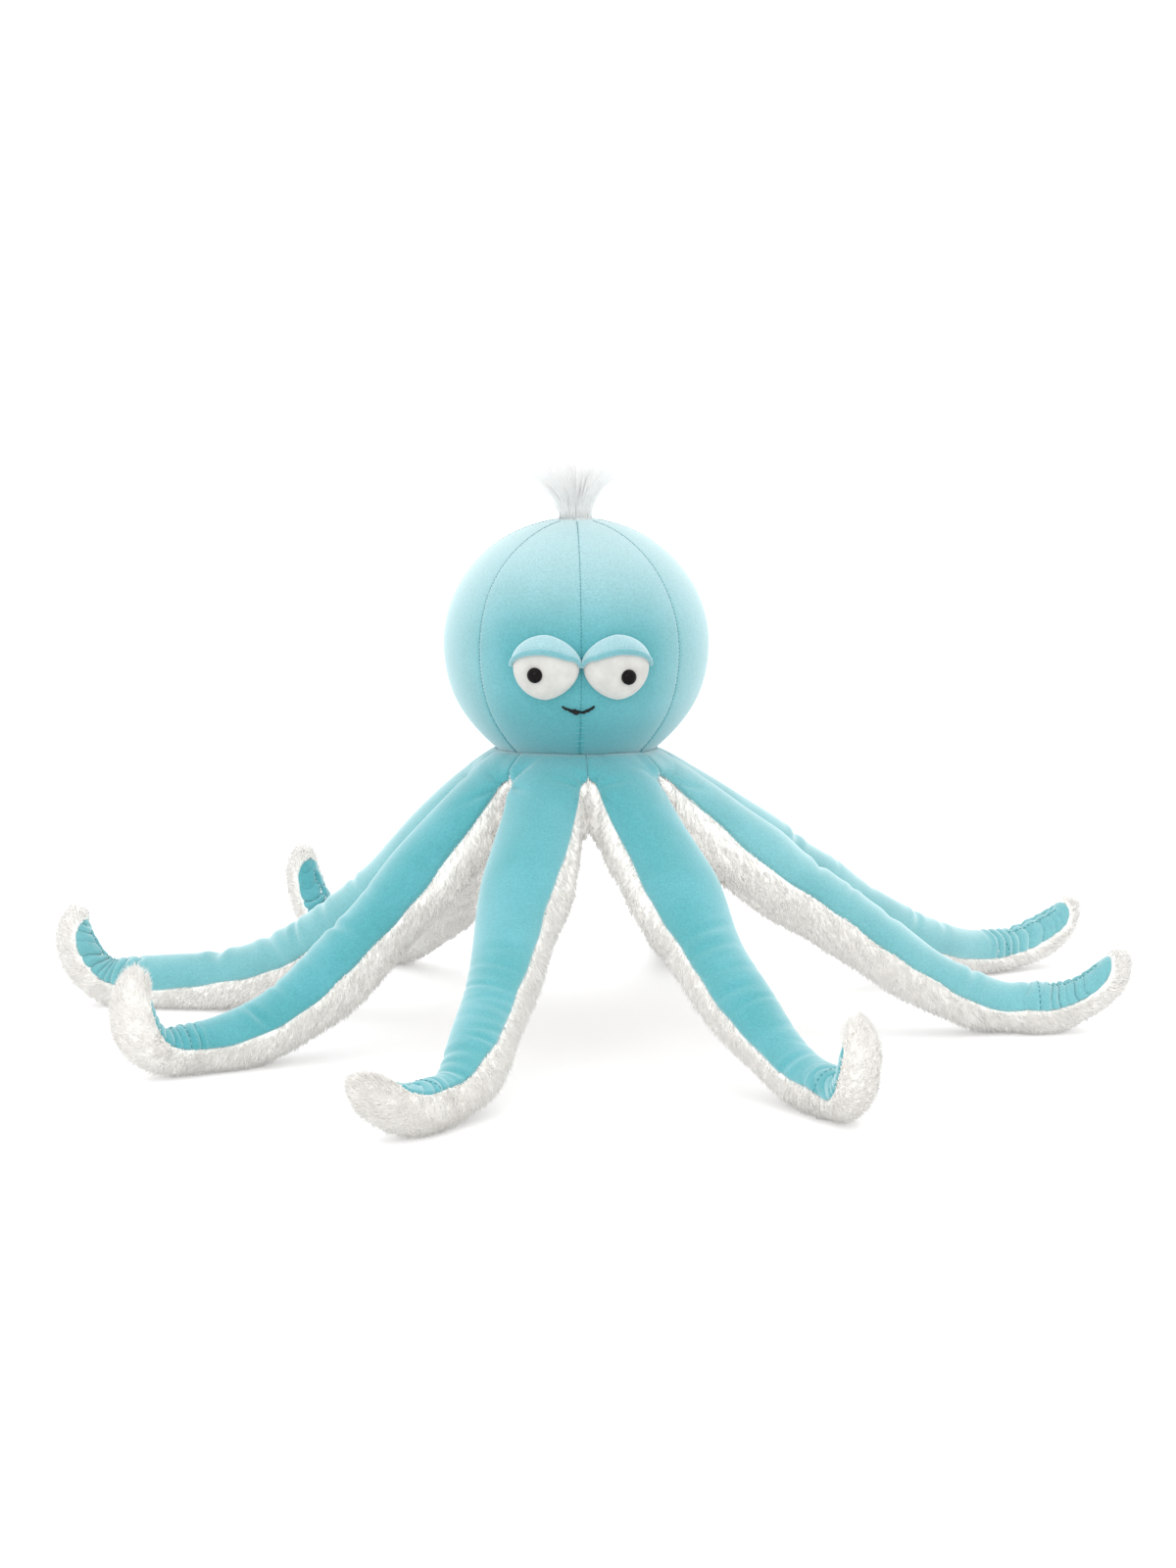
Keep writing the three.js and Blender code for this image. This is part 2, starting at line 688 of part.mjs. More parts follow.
// How deep the washer lies under the eye's tangent plane: behind the gore, against its wall.
function washerDepth() {
  return velourWall + seamPull + 2 * washerWall;
}

// A bead with its shank and the washer that is pressed on to it behind the fabric.
function pupil(side) {
  const bead = ellipsoid(pupilRadius, pupilDome, pupilRadius);
  bead.translate(side * pupilShift, -padRise(), -pupilDrop);
  const seated = inEye(side, bead).subtract(padForm(side, fit));
  const rod = eyeRod(side, shankRadius, -padRise() - pupilDome / 2, shankReach);
  const washer = eyeRod(side, washerRadius, washerDepth() - washerWall / 2, washerDepth() + washerWall / 2);
  return seated.add(rod).add(washer);
}

// The room for a bead's shank and washer in the gore and the fibre.
function pupilRoom(side) {
  const half = washerWall / 2 + fit;
  const hole = eyeRod(side, shankRadius + fit, -overrun, shankReach + fit);
  return hole.add(eyeRod(side, washerRadius + fit, washerDepth() - half, washerDepth() + half));
}

function head() {
  const rooms = pupilRoom(-1).add(pupilRoom(1));
  const shanks = eyeRod(-1, shankRadius + fit, -overrun, shankReach).add(
    eyeRod(1, shankRadius + fit, -overrun, shankReach),
  );
  const group = new THREE.Group();
  goreAngles.forEach((from, i) => {
    const to = i + 1 < goreAngles.length ? goreAngles[i + 1] : goreAngles[0] + 360;
    const panel = gore(from, to);
    const holed = from < goreAngles[2] ? geometryFrom(solidFrom(panel).subtract(shanks)) : panel;
    group.add(named(`head_panel_${i + 1}`, holed, velour));
  });
  group.add(named("head_stuffing", geometryFrom(solidFrom(headFibre()).subtract(rooms)), fibre));
  for (const [label, side] of [["left", -1], ["right", 1]])
    group.add(
      named(`eye_pad_${label}`, geometryFrom(eyePad(side)), eyeFelt),
      named(`eyelid_${label}`, geometryFrom(eyelid(side)), lidVelour),
      named(`pupil_${label}`, geometryFrom(pupil(side)), beadPlastic),
    );
  const brush = named("tuft", tuft(), longPile);
  brush.position.z = tuftHingeRise();
  group.add(brush);
  group.position.z = headHeight;
  group.rotation.z = degrees(headTurn);
  return group;
}

// The whole toy, moved so that the middle of its box stands over the origin and its soles are at zero.
function octopus() {
  const toy = new THREE.Group();
  toy.add(trunk(), head(), ...armPoses.map((pose, i) => arm(i + 1, pose)));
  toy.updateMatrixWorld(true);
  const box = new THREE.Box3().setFromObject(toy, true);
  const middle = box.getCenter(new THREE.Vector3());
  toy.position.set(-middle.x, -middle.y, -box.min.z);
  return new THREE.Group().add(toy);
}

export default octopus();
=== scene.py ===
"""A plush octopus: a stuffed velour ball for a head, eight arms that are velour above and long pile below,
felt eyes with pale lids, a thread smile and a tuft of pile. Lengths are in metres and angles in degrees."""

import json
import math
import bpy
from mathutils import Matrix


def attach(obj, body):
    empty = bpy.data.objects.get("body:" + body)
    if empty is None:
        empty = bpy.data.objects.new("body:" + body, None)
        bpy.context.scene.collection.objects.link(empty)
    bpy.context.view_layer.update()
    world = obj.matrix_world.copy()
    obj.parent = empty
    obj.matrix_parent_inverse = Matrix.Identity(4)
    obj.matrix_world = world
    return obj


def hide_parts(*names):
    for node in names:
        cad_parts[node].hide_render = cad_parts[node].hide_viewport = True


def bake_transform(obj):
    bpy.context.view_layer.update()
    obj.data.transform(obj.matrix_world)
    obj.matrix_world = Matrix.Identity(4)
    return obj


bl_info = {
    "name": "Plush Octopus",
    "version": (1, 0, 0),
    "blender": (4, 5, 0),
    "location": "3D View > Sidebar > Octopus",
    "description": "Makes the covers, pile, eyes and stitches of a plush octopus over its packed solids",
    "category": "Add Mesh",
}

import bmesh
import bpy
import numpy as np
from bpy.props import FloatProperty, IntProperty, PointerProperty
from mathutils import Matrix, Vector

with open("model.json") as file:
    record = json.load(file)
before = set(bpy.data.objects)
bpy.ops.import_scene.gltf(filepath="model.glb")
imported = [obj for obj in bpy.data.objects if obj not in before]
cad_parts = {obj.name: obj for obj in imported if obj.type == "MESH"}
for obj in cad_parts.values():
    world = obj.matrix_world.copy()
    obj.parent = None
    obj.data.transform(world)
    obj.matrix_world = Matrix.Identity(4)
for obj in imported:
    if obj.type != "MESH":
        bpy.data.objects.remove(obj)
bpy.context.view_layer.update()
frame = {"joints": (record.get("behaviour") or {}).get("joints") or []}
JOINTS = {joint["name"]: joint for joint in frame["joints"]}
AXIS = np.array(JOINTS["head_nod"]["pos_m"]) * (1, 1, 0)

MM = 0.001

# Trunk and neck
ARM_COUNT = 8
ARM_PITCH = 360 / ARM_COUNT
HIP_RADIUS = 60 * MM
HIP_HEIGHT = 117 * MM
NECK_RADIUS = 42.4 * MM
NECK_HEIGHT = 151 * MM
NECK_FRONT_RISE = 4 * MM
NECK_TUCK = 3 * MM
FORK_REACH = (51 * MM, 53.5 * MM)
PILE_FORK = 3 * MM
BASE_HEIGHT = 109 * MM
# How much higher the arms' undersides are where they meet
WALL_LIFT = 14 * MM
# The piled core between the arms, as radii and heights from its middle below to its middle above
CORE_OUTLINE = ((0, 109), (20, 110), (32, 114), (39, 120), (42.5, 126), (44, 132), (40, 136), (26, 138), (0, 138))

# The pile that bridges two arms under their fork: radius and height of its middle, and half its sizes
GUSSET_REACH = 51 * MM
GUSSET_HEIGHT = 130 * MM
GUSSET_SIZES = (9 * MM, 8 * MM, 10 * MM)
# The velour that lines the seams of the yoke, as radii and heights round a ring
YOKE_OUTLINE = (
    (40, 143), (40, 152), (43, 152.5), (47, 149), (51, 145), (53.5, 141), (53, 138.5), (48, 138), (40, 143)
)
# The two rows of stitches round the neck: degrees from stitch to stitch, half a stitch, degrees above the edge
NECK_ROWS = ((2.5, 1.4, 0.1), (5.6, 1.0, 0.4))
YOKE_STITCH_PITCH = 2.9 * MM
DART_STITCH_PITCH = 3.1 * MM

# Head
HEAD_RADIUS = 70.6 * MM
HEAD_HEIGHT = 209 * MM
CROWN_RISE = 65.6 * MM
LOWER_DEPTH = 71 * MM
HEAD_TURN = 2.4
GORE_ANGLES = (-48, 0, 48, 92, 136, 180, 224, 268)
GORE_COLUMNS = 30
HEAD_ROWS = 150
# How far the filling stands out between the seams, how deep a seam's groove is and how wide
GORE_PUFF = 0.9 * MM
SEAM_GROOVE = 0.4 * MM
SEAM_WIDTH = 0.7 * MM
# Where the head is fuller at the upper left: how much, the angle from the front and the level in radians
HEAD_BULGE = (2.4 * MM, -68, 0.62)

# Face
EYE_SPACING = 36 * MM
EYE_DROP = 5.4 * MM
EYE_HALF_WIDTH = 17.3 * MM
EYE_HALF_HEIGHT = 16 * MM
EYE_BULGE = 9 * MM
EYE_TAPER = 0.17
# Where a lid ends, how much that rises towards the inner corner of the eye, and from which share of the way
LID_ANGLE = 33
LID_RISE = 15
LID_RISE_START = 0.7
LID_BACK_ANGLE = 150
LID_WALL = 1.5 * MM
HEM_RADIUS = 1.9 * MM
PUPIL_RADIUS = 4 * MM
PUPIL_FLATNESS = 0.72
PUPIL_SHIFT = 4.1 * MM
PUPIL_DROPS = {-1: 2.4 * MM, 1: 3.6 * MM}
# The hollow that each bead's shank draws in the pad
DIMPLE_RADIUS = 7 * MM
DIMPLE_DEPTH = 1.2 * MM
# Each stitch of the smile, in mm: where it starts and ends, across the face and above the lowest point, and its
# thickness share
MOUTH_STITCHES = (
    (-9.7, 3.1, -6.0, 1.5, 0.75),
    (-6.6, 1.6, -3.0, 0.7, 1.0),
    (-4.4, 0.7, -1.0, -0.1, 1.25),
    (-3.6, 1.4, -0.6, 0.3, 1.0),
    (0.1, -0.1, 3.0, 1.0, 0.9),
    (2.4, 0.7, 5.0, 1.9, 0.9),
    (4.4, 1.6, 6.9, 3.3, 0.75),
)
STITCH_STEPS = 10

# Tuft: the ring that it is rooted in, how high and how far out its strands reach, how they bow and lean, and
# their least and greatest radius in mm
TUFT_RADIUS = 9 * MM
TUFT_HEIGHT = 38 * MM
TUFT_FAN = 43 * MM
TUFT_BOW = 0.34
TUFT_LEAN = 2.2 * MM
TUFT_STRAND_RADII = (0.12, 0.19)
# The ball that the strands are rooted in
TUFT_ROOT_RADIUS = 9.2 * MM
TUFT_ROOT_SHAPE = (1, 0.85, 0.6)

# Arms, as their solids have them: a cubic to the sole, the sole and a cubic round the tip's curl
ARM_TURN = 6.5
ARM_REACH = 250 * MM
SHOULDER_RADIUS = 22 * MM
FOOT_RADIUS = 13.8 * MM
FOOT_HEIGHT = 13.3 * MM
SOLE_LENGTH = 18 * MM
BEND_OUT = 72 * MM
BEND_IN = 62 * MM
LEAD_SHARE = 0.8
TIP_LENGTH = 58 * MM
TIP_ROOT_RADIUS = 12.4 * MM
TIP_END_RADIUS = 10 * MM
TAPER_POWER = 1.3
TIP_ROUND_POWER = 5
# Each arm, as its solids have it: share of the reach, swing, slope, share of the bend, heading, share of the
# tip's length, curl, turn
ARM_LIES = (
    (0.98, -1.5, 39, 0.5, -22.5, 0.84, 52, -32),
    (0.98, 2.5, 36, 0.7, 1.5, 1.05, 122, 0),
    (1, 14.5, 28, 0.65, 17.5, 0.94, 70, 0),
    (1.15, 3.5, 31, 1, 3.5, 1, 62, -10),
    (0.94, 1.5, 40, 1, 5.5, 1, 90, 10),
    (0.97, 4.5, 40, 1, 23.5, 1.15, 108, 12),
    (1.03, 2.5, 50, 1.75, 8.5, 1.06, 112, 5),
    (0.93, -0.5, 40, 1, 3.5, 1.08, 122, 0),
)
# How many degrees the velour is rolled round each arm: past its root, at its sole and on its tip
ARM_ROLLS = (
    (-17, -33, -28), (0, 0, -24), (-8, -14, -14), (-20, -30, -25), (0, 0, 0), (8, 14, 10), (12, 22, 12), (5, 11, -4)
)
# The share of each tip at which the velour ends
VELOUR_ENDS = (0.56, 0.84, 0.92, 0.91, 0.86, 0.91, 0.92, 0.84)
ROOT_START = -18 * MM
ROOT_END = 48 * MM
# How hard the cover keeps to its ways at both ends of the root
ROOT_PULL = 58 * MM
TIP_SPLIT = 13 * MM
TIP_OVERLAP = 2.5 * MM
TIP_BLEND = 10 * MM
CROTCH_GAP = 0.03 * MM
VELOUR_HALF_ANGLE = 72
VELOUR_WALL = 1.2 * MM
PILE_INSET = 1.3 * MM
# How much of a strand's own roundness shows in its shading, beside the lie of the pile as a whole
PILE_SOLIDITY = 0.34
PILE_LOOSENESS = 0.32
# How wide the clumps are that the pile is swept in
PILE_CLUMP = 6 * MM
# How uneven the filling is, and how far apart its lumps are in the other arms and in those in front
FULLNESS = 1.7 * MM
LUMP_PITCH = 40 * MM
FRONT_LUMP_PITCH = 55 * MM
# How far a tip drifts to the viewer's right and upwards
TIP_DRIFTS = {
    1: (2.5 * MM, 0),
    2: (-6 * MM, 0),
    3: (-1.5 * MM, 0.5 * MM),
    4: (1 * MM, -4 * MM),
    6: (3.5 * MM, 1 * MM),
    7: (7 * MM, -2.5 * MM),
    8: (6 * MM, 0.5 * MM),
}
# How far an arm bows to its left and upwards, before its middle
ARM_BOWS = {5: (-19 * MM, 0), 6: (0, 5 * MM), 4: (0, 5 * MM), 7: (0, 3.5 * MM)}
# The share of the way to the sole over which a bow eases into the sole's line
BOW_END = 0.06
# Where an arm is plumper than its solid: along it, how far that goes, the angle off its top, how wide, how much
ARM_SWELLS = {2: (48 * MM, 30 * MM, 62, 45, 4 * MM), 1: (40 * MM, 35 * MM, -70, 40, 1.5 * MM)}
# The drawn thread's folds: from one to the next, where they begin before the tip, and how deep they are on each
# tip, in mm
FOLD_PITCH = 7.2 * MM
FOLD_LEAD = 18 * MM
TIP_FOLDS = (1.6, 2.0, 2.6, 2.6, 2.4, 3.2, 3.4, 2.0)
MOST_FOLDS = 40
# How deep the dart, the rolled seams and the seam at the neck draw the velour in
DART_DEPTH = 1.5 * MM
ROLL_DEPTH = 2.4 * MM
NECK_SEAM_DEPTH = 1.6 * MM
# How deep the puckers are at the forks and at that of arms 8 and 1, and which side of those two meets there
PUCKER_DEPTH = 1.5 * MM
LEFT_PUCKER_DEPTH = 2.4 * MM
LEFT_FORK_SIDES = {1: -1, 8: 1}
# The arms in front, whose filling is smoother, creases finer and tips slimmer than the others'
FRONT_ARMS = (1, 2)
FINE_CREASE_SHARE = 0.75
# Where the velour creases across, as shares of the way to the sole: first, last, how many, depth in mm
ARM_CREASES = (
    (0.48, 0.95, 12, 0.8),
    (0.42, 0.92, 8, 0.7),
    (0.35, 0.86, 5, 1.5),
    (0.35, 0.88, 5, 1.5),
    (0.40, 0.85, 5, 1.0),
    (0.40, 0.85, 5, 1.2),
    (0.35, 0.80, 5, 1.9),
    (0.35, 0.85, 5, 1.5),
)

# Meshes: rows along and columns round, points of a centre line's curves and its sole, waves of the noise
LIMB_VELOUR_GRID = (190, 44)
TIP_VELOUR_GRID = (110, 44)
LIMB_BACKING_GRID = (90, 48)
TIP_BACKING_GRID = (50, 40)
PAD_GRID = (60, 72)
LID_GRID = (60, 30)
HEM_STEPS = 48
CURVE_POINTS = 240
SOLE_POINTS = 20
RIPPLE_WAVES = 7
WELD = 0.01 * MM
# The share of a turn from one strand to the next, which spreads them evenly round an arm
GOLDEN_SHARE = 0.6180339887

# Floor, light and camera
FLOOR_RADIUS = 30
SKY_STRENGTH = 1.32
# Each soft light: its name, where it stands, what it points at, its size and its power in watts
SOFTBOXES = (
    ("overhead", (0, -0.2, 1.9), (0, 0, 0.15), 1.8, 5),
    ("front", (-0.7, -2.6, 1.3), (0, 0, 0.12), 1.4, 10),
)
CAMERA_ELEVATION = 9.09
CAMERA_LENS = 95.175
CAMERA_DISTANCE = 2.2
CAMERA_AIM = (6.3 * MM, 0, 133 * MM)


# Numbers and shapes


def flat(angle):
    """The level unit vector at an angle from +X."""
    return np.array((math.cos(math.radians(angle)), math.sin(math.radians(angle)), 0))


def ramp(x, low, high):
    """0 up to low and 1 from high, with a smooth rise in between."""
    share = np.clip((x - low) / (high - low), 0, 1)
    return share * share * (3 - 2 * share)


def unit(vectors):
    return vectors / np.maximum(np.linalg.norm(vectors, axis=-1, keepdims=True), 1e-12)


def bezier(a, b, c, d):
    t = np.linspace(0, 1, CURVE_POINTS)[:, None]
    return (1 - t) ** 3 * a + 3 * (1 - t) ** 2 * t * b + 3 * (1 - t) * t**2 * c + t**3 * d


def ripple(points, size, seed):
    """Smooth noise from -1 to 1 over points, with swells about size across."""
    rng = np.random.default_rng(seed)
    ways = unit(rng.normal(size=(RIPPLE_WAVES, 3))) * (math.tau / size) * rng.uniform(0.5, 1.1, (RIPPLE_WAVES, 1))
    return np.sin(points @ ways.T + rng.uniform(0, math.tau, RIPPLE_WAVES)).sum(axis=1) / RIPPLE_WAVES**0.5 / 1.4


def laid_grid(rows, columns, place):
    """A bmesh grid laid over a surface: place gives points for two shares, each 0 to 1."""
    bm = bmesh.new()
    bmesh.ops.create_grid(bm, x_segments=rows, y_segments=columns, size=0.5)
    at = np.array([v.co for v in bm.verts])
    low, high = at.min(axis=0), at.max(axis=0)
    shares = (at[:, :2] - low[:2]) / (high - low)[:2]
    for vertex, point in zip(bm.verts, place(shares[:, 0], shares[:, 1])):
        vertex.co = point
    return bm


def closed(bm):
    """Welds a laid grid's meeting edges, fills the ends and turns its faces outwards."""
    bmesh.ops.remove_doubles(bm, verts=bm.verts, dist=WELD)
    open_edges = [e for e in bm.edges if e.is_boundary]
    if open_edges:
        bmesh.ops.holes_fill(bm, edges=open_edges, sides=0)
    bmesh.ops.recalc_face_normals(bm, faces=bm.faces)
    return bm


def absorb(bm, part):
    """Adds one bmesh to another and frees it."""
    mesh = bpy.data.meshes.new("part")
    part.to_mesh(mesh)
    part.free()
    bm.from_mesh(mesh)
    bpy.data.meshes.remove(mesh)


def placed(name, mesh, material):
    """Puts a mesh in the scene as an object of one material."""
    mesh.materials.append(material)
    piece = bpy.data.objects.new(name, mesh)
    bpy.context.scene.collection.objects.link(piece)
    return piece


def mesh_object(name, bm, material, smooth=True):
    mesh = bpy.data.meshes.new(name)
    bm.to_mesh(mesh)
    bm.free()
    if smooth:
        mesh.shade_smooth()
    return placed(name, mesh, material)


def with_wall(piece, thickness):
    """Gives an open sheet its wall, inwards from its face."""
    solid = piece.modifiers.new("Wall", "SOLIDIFY")
    solid.thickness = thickness
    solid.offset = -1
    evaluated = piece.evaluated_get(bpy.context.evaluated_depsgraph_get())
    mesh = bpy.data.meshes.new_from_object(evaluated)
    piece.modifiers.clear()
    piece.data = mesh


# One strand or stitch is modelled once and repeated


def template(segments, rings, taper):
    """The points and triangles of a slim cone along +Z, one unit long and one unit in radius at its root."""
    bm = bmesh.new()
    bmesh.ops.create_cone(bm, cap_ends=True, segments=segments, radius1=1, radius2=taper, depth=1)
    bmesh.ops.translate(bm, verts=bm.verts, vec=(0, 0, 0.5))
    for ring in range(1, rings):
        geometry = bm.verts[:] + bm.edges[:] + bm.faces[:]
        bmesh.ops.bisect_plane(bm, geom=geometry, plane_co=(0, 0, ring / rings), plane_no=(0, 0, 1))
    bmesh.ops.remove_doubles(bm, verts=bm.verts, dist=1e-6)
    bmesh.ops.triangulate(bm, faces=bm.faces[:])
    bm.verts.index_update()
    points = np.array([v.co for v in bm.verts])
    triangles = np.array([[v.index for v in f.verts] for f in bm.faces])
    bm.free()
    return points, triangles


def repeated(shape, roots, ends, bends, widths):
    """Many copies of a template as one mesh: each runs from its root towards its end, bowed by bends."""
    points, triangles = shape
    along = unit(ends - roots)
    across = unit(np.cross(along, np.where(np.abs(along[:, 2:]) < 0.9, (0, 0, 1), (1, 0, 0))))
    other = np.cross(along, across)
    rise = points[:, 2]
    bow = 4 * rise * (1 - rise)
    laid = (
        roots[:, None] + rise[None, :, None] * (ends - roots)[:, None] + bow[None, :, None] * bends[:, None]
        + points[None, :, :1] * widths[:, None, None] * across[:, None]
        + points[None, :, 1:2] * widths[:, None, None] * other[:, None]
    )
    corners = triangles[None] + (np.arange(len(roots)) * len(points))[:, None, None]
    return laid.reshape(-1, 3), corners.reshape(-1, 3)


def soft_normals(mesh, first, facing):
    """Turns the normals of a mesh's strands, from one vertex on, towards the way that each is rooted."""
    normals = np.zeros(len(mesh.vertices) * 3, dtype=np.float32)
    mesh.vertices.foreach_get("normal", normals)
    normals = normals.reshape(-1, 3)
    across = 1 - np.clip(np.sum(normals[first:] * facing, axis=1, keepdims=True), 0, 1)
    solidity = PILE_SOLIDITY + (0.9 - PILE_SOLIDITY) * across
    normals[first:] = unit(normals[first:] * solidity + facing * (1 - solidity))
    mesh.normals_split_custom_set_from_vertices(normals)


def triangle_mesh(name, points, triangles):
    mesh = bpy.data.meshes.new(name)
    mesh.vertices.add(len(points))
    mesh.vertices.foreach_set("co", points.astype(np.float32).ravel())
    mesh.loops.add(triangles.size)
    mesh.loops.foreach_set("vertex_index", triangles.astype(np.int32).ravel())
    mesh.polygons.add(len(triangles))
    mesh.polygons.foreach_set("loop_start", np.arange(0, triangles.size, 3, dtype=np.int32))
    mesh.update(calc_edges=True)
    mesh.validate()
    return mesh


def strand_lay(points, lay, outward, spread, seed):
    """The way each strand leans: along its lay, swept sideways together in clumps."""
    sideways = np.cross(outward, lay)
    rng = np.random.default_rng(seed)
    swing = spread * (0.5 * ripple(points, PILE_CLUMP, seed) + 0.6 * rng.normal(size=len(points)))
    along = 1 + 0.3 * ripple(points, PILE_CLUMP * 1.3, seed + 1)
    return unit(lay * along[:, None] + sideways * swing[:, None])


def pile_strands(shape, points, outward, lay, length, width, rng):
    """Strands rooted just under a surface, that stand out of it and then lie over."""
    count = len(points)
    tufted = 1 + 0.16 * ripple(points, 5 * MM, count)
    reach = (length * tufted * rng.uniform(0.7, 1.15, count))[:, None]
    stand = (0.2 + 0.55 * rng.uniform(0, 1, count) ** 2)[:, None]
    way = unit(outward * stand + lay * (1 - stand * 0.4))
    roots = points - outward * 0.4 * MM
    ends = roots + way * reach
    made = repeated(shape, roots, ends, np.zeros_like(roots), width * rng.uniform(0.8, 1.2, count))
    facing = unit(outward + PILE_LOOSENESS * rng.normal(size=(count, 3)))
    softness = 1 - 0.9 * shape[0][:, 2]
    return *made, (facing[:, None] * softness[None, :, None]).reshape(-1, 3)


# Arms


def wall_at(reach):
    """How far an arm's middle is from the wall that it shares with a neighbour, at a reach from the axis."""
    return np.maximum(reach * math.tan(math.radians(ARM_PITCH / 2)) - CROTCH_GAP, 0)


class Arm:
    """One arm's centre line and outside, from the sizes that its solids have."""

    def __init__(self, number):
        reach, swing, slope, ease, heading, tip_share, curl, turn = ARM_LIES[number - 1]
        self.number = number
        self.facing = -90 + ARM_PITCH * (number - 1.5) + ARM_TURN
        self.rolls = ARM_ROLLS[number - 1]
        self.velour_share = VELOUR_ENDS[number - 1]
        self.shoulder = np.array(JOINTS[f"arm_{number}_lift"]["pos_m"])
        foot = flat(swing) * ARM_REACH * reach + (-HIP_RADIUS, 0, FOOT_HEIGHT - HIP_HEIGHT)
        ahead = flat(heading)
        ankle = foot - ahead * SOLE_LENGTH
        lead = flat(swing * LEAD_SHARE) * BEND_OUT * math.cos(math.radians(slope))
        lead[2] = -BEND_OUT * math.sin(math.radians(slope))
        limb = bezier(np.zeros(3), lead, ankle - ahead * BEND_IN * ease, ankle)
        arc = math.radians(curl)
        bend = TIP_LENGTH * tip_share / arc
        handle = 4 / 3 * math.tan(arc / 4) * bend
        end = foot + flat(heading + turn / 2) * bend * math.sin(arc)
        end[2] += bend * (1 - math.cos(arc))
        away = flat(heading + turn) * math.cos(arc)
        away[2] = math.sin(arc)
        tip = bezier(foot, foot + ahead * handle, end - away * handle, end)
        sole = np.linspace(ankle, foot, SOLE_POINTS)
        line = np.vstack((limb, sole[1:], tip[1:]))
        steps = np.linalg.norm(np.diff(line, axis=0), axis=1)
        self.at = np.concatenate(([0], np.cumsum(steps)))
        share = np.clip(self.at / self.at[len(limb) - 1], 0, 1)
        bow = np.sin(math.pi * share**0.75) * (1 - np.exp((share - 1) / BOW_END))
        line[:, 1:] += bow[:, None] * ARM_BOWS.get(number, (0, 0))
        drift = TIP_DRIFTS.get(number)
        if drift:
            sideways = np.array((drift[0] * flat(self.facing)[0], drift[0] * flat(self.facing + 90)[0], 0))
            left = (self.at[-1] - self.at) / TIP_LENGTH
            line += sideways * ramp(left, 1.15, 0.35)[:, None]
            line[:, 2] += drift[1] * ramp(left, 0.75, 0.1)
        self.line = line
        self.sole_start = self.at[len(limb) - 1]
        self.tip_start = self.at[len(limb) + len(sole) - 2]
        self.split = self.tip_start - TIP_SPLIT
        self.length = self.at[-1]
        self.tangent = unit(np.gradient(line, self.at, axis=0))
        self.up = self.carried_up()
        self.hinge = self.to_row(foot[None])[0]
        self.ahead = self.turned(ahead[None])[0]

    def carried_up(self):
        """The up side, upright to the tip and carried on round its curl."""
        ups = []
        up = np.array((0.0, 0.0, 1.0))
        for at, tangent in zip(self.at, self.tangent):
            if at <= self.tip_start:
                up = np.array((0.0, 0.0, 1.0))
            up = unit(up - tangent * (up @ tangent))
            ups.append(up)
        return np.array(ups)

    def turned(self, vectors):
        """Vectors of the shoulder's frame in the row frame."""
        out, left = flat(self.facing), flat(self.facing + 90)
        return vectors[:, :1] * out + vectors[:, 1:2] * left + vectors[:, 2:] * (0, 0, 1)

    def to_row(self, points):
        return self.turned(points) + self.shoulder

    def frame_at(self, along):
        found = [
            np.stack([np.interp(along, self.at, table[:, i]) for i in range(3)], axis=1)
            for table in (self.line, self.tangent, self.up)
        ]
        origin, tangent, up = found[0], unit(found[1]), unit(found[2])
        return origin, tangent, up, np.cross(up, tangent)

    def radius(self, along):
        share = np.clip(along / self.sole_start, 0, 1)
        limb = FOOT_RADIUS + (SHOULDER_RADIUS - FOOT_RADIUS) * (1 - share**TAPER_POWER)
        tip_share = self.tip_share(along)
        tip = TIP_ROOT_RADIUS + (TIP_END_RADIUS - TIP_ROOT_RADIUS) * tip_share
        tip = tip * np.sqrt(1 - tip_share**TIP_ROUND_POWER)
        mix = ramp(along, self.split, self.tip_start + TIP_BLEND)
        return limb + (tip - limb) * mix

    def tube(self, along, turn):
        origin, tangent, up, side = self.frame_at(along)
        radius = self.radius(along)[:, None]
        angle = np.radians(turn)[:, None]
        return origin + radius * (up * np.cos(angle) + side * np.sin(angle)), tangent

    def root(self, turn):
        """Where the cover starts, inside the neck seam and the walls between the arms, and the way it sets off."""
        off = np.abs(turn)
        edge = np.clip(turn / VELOUR_HALF_ANGLE, -1, 1)
        below = np.clip((off - VELOUR_HALF_ANGLE) / (180 - VELOUR_HALF_ANGLE), 0, 1)
        under = ramp(below, 0.6, 1)
        azimuth = edge * ARM_PITCH / 2 * (1 - under)
        front = np.maximum(np.cos(np.radians(self.facing + azimuth + 90)), 0)
        top = NECK_HEIGHT + NECK_FRONT_RISE * front
        side_foot = BASE_HEIGHT + WALL_LIFT
        height = top + NECK_TUCK + (side_foot - top - NECK_TUCK) * np.clip(below / 0.6, 0, 1) - HIP_HEIGHT
        height -= WALL_LIFT * under
        radius = NECK_RADIUS - NECK_TUCK + 3 * MM * front * (1 - np.clip(below * 3, 0, 1))
        angle = np.radians(azimuth)
        place = np.stack((radius * np.cos(angle) - HIP_RADIUS, radius * np.sin(angle), height), axis=1)
        fall = np.radians(20 + 24 * edge**2 - 22 * under)
        way = np.stack((np.cos(angle) * np.cos(fall), np.sin(angle) * np.cos(fall), -np.sin(fall)), axis=1)
        return place, way

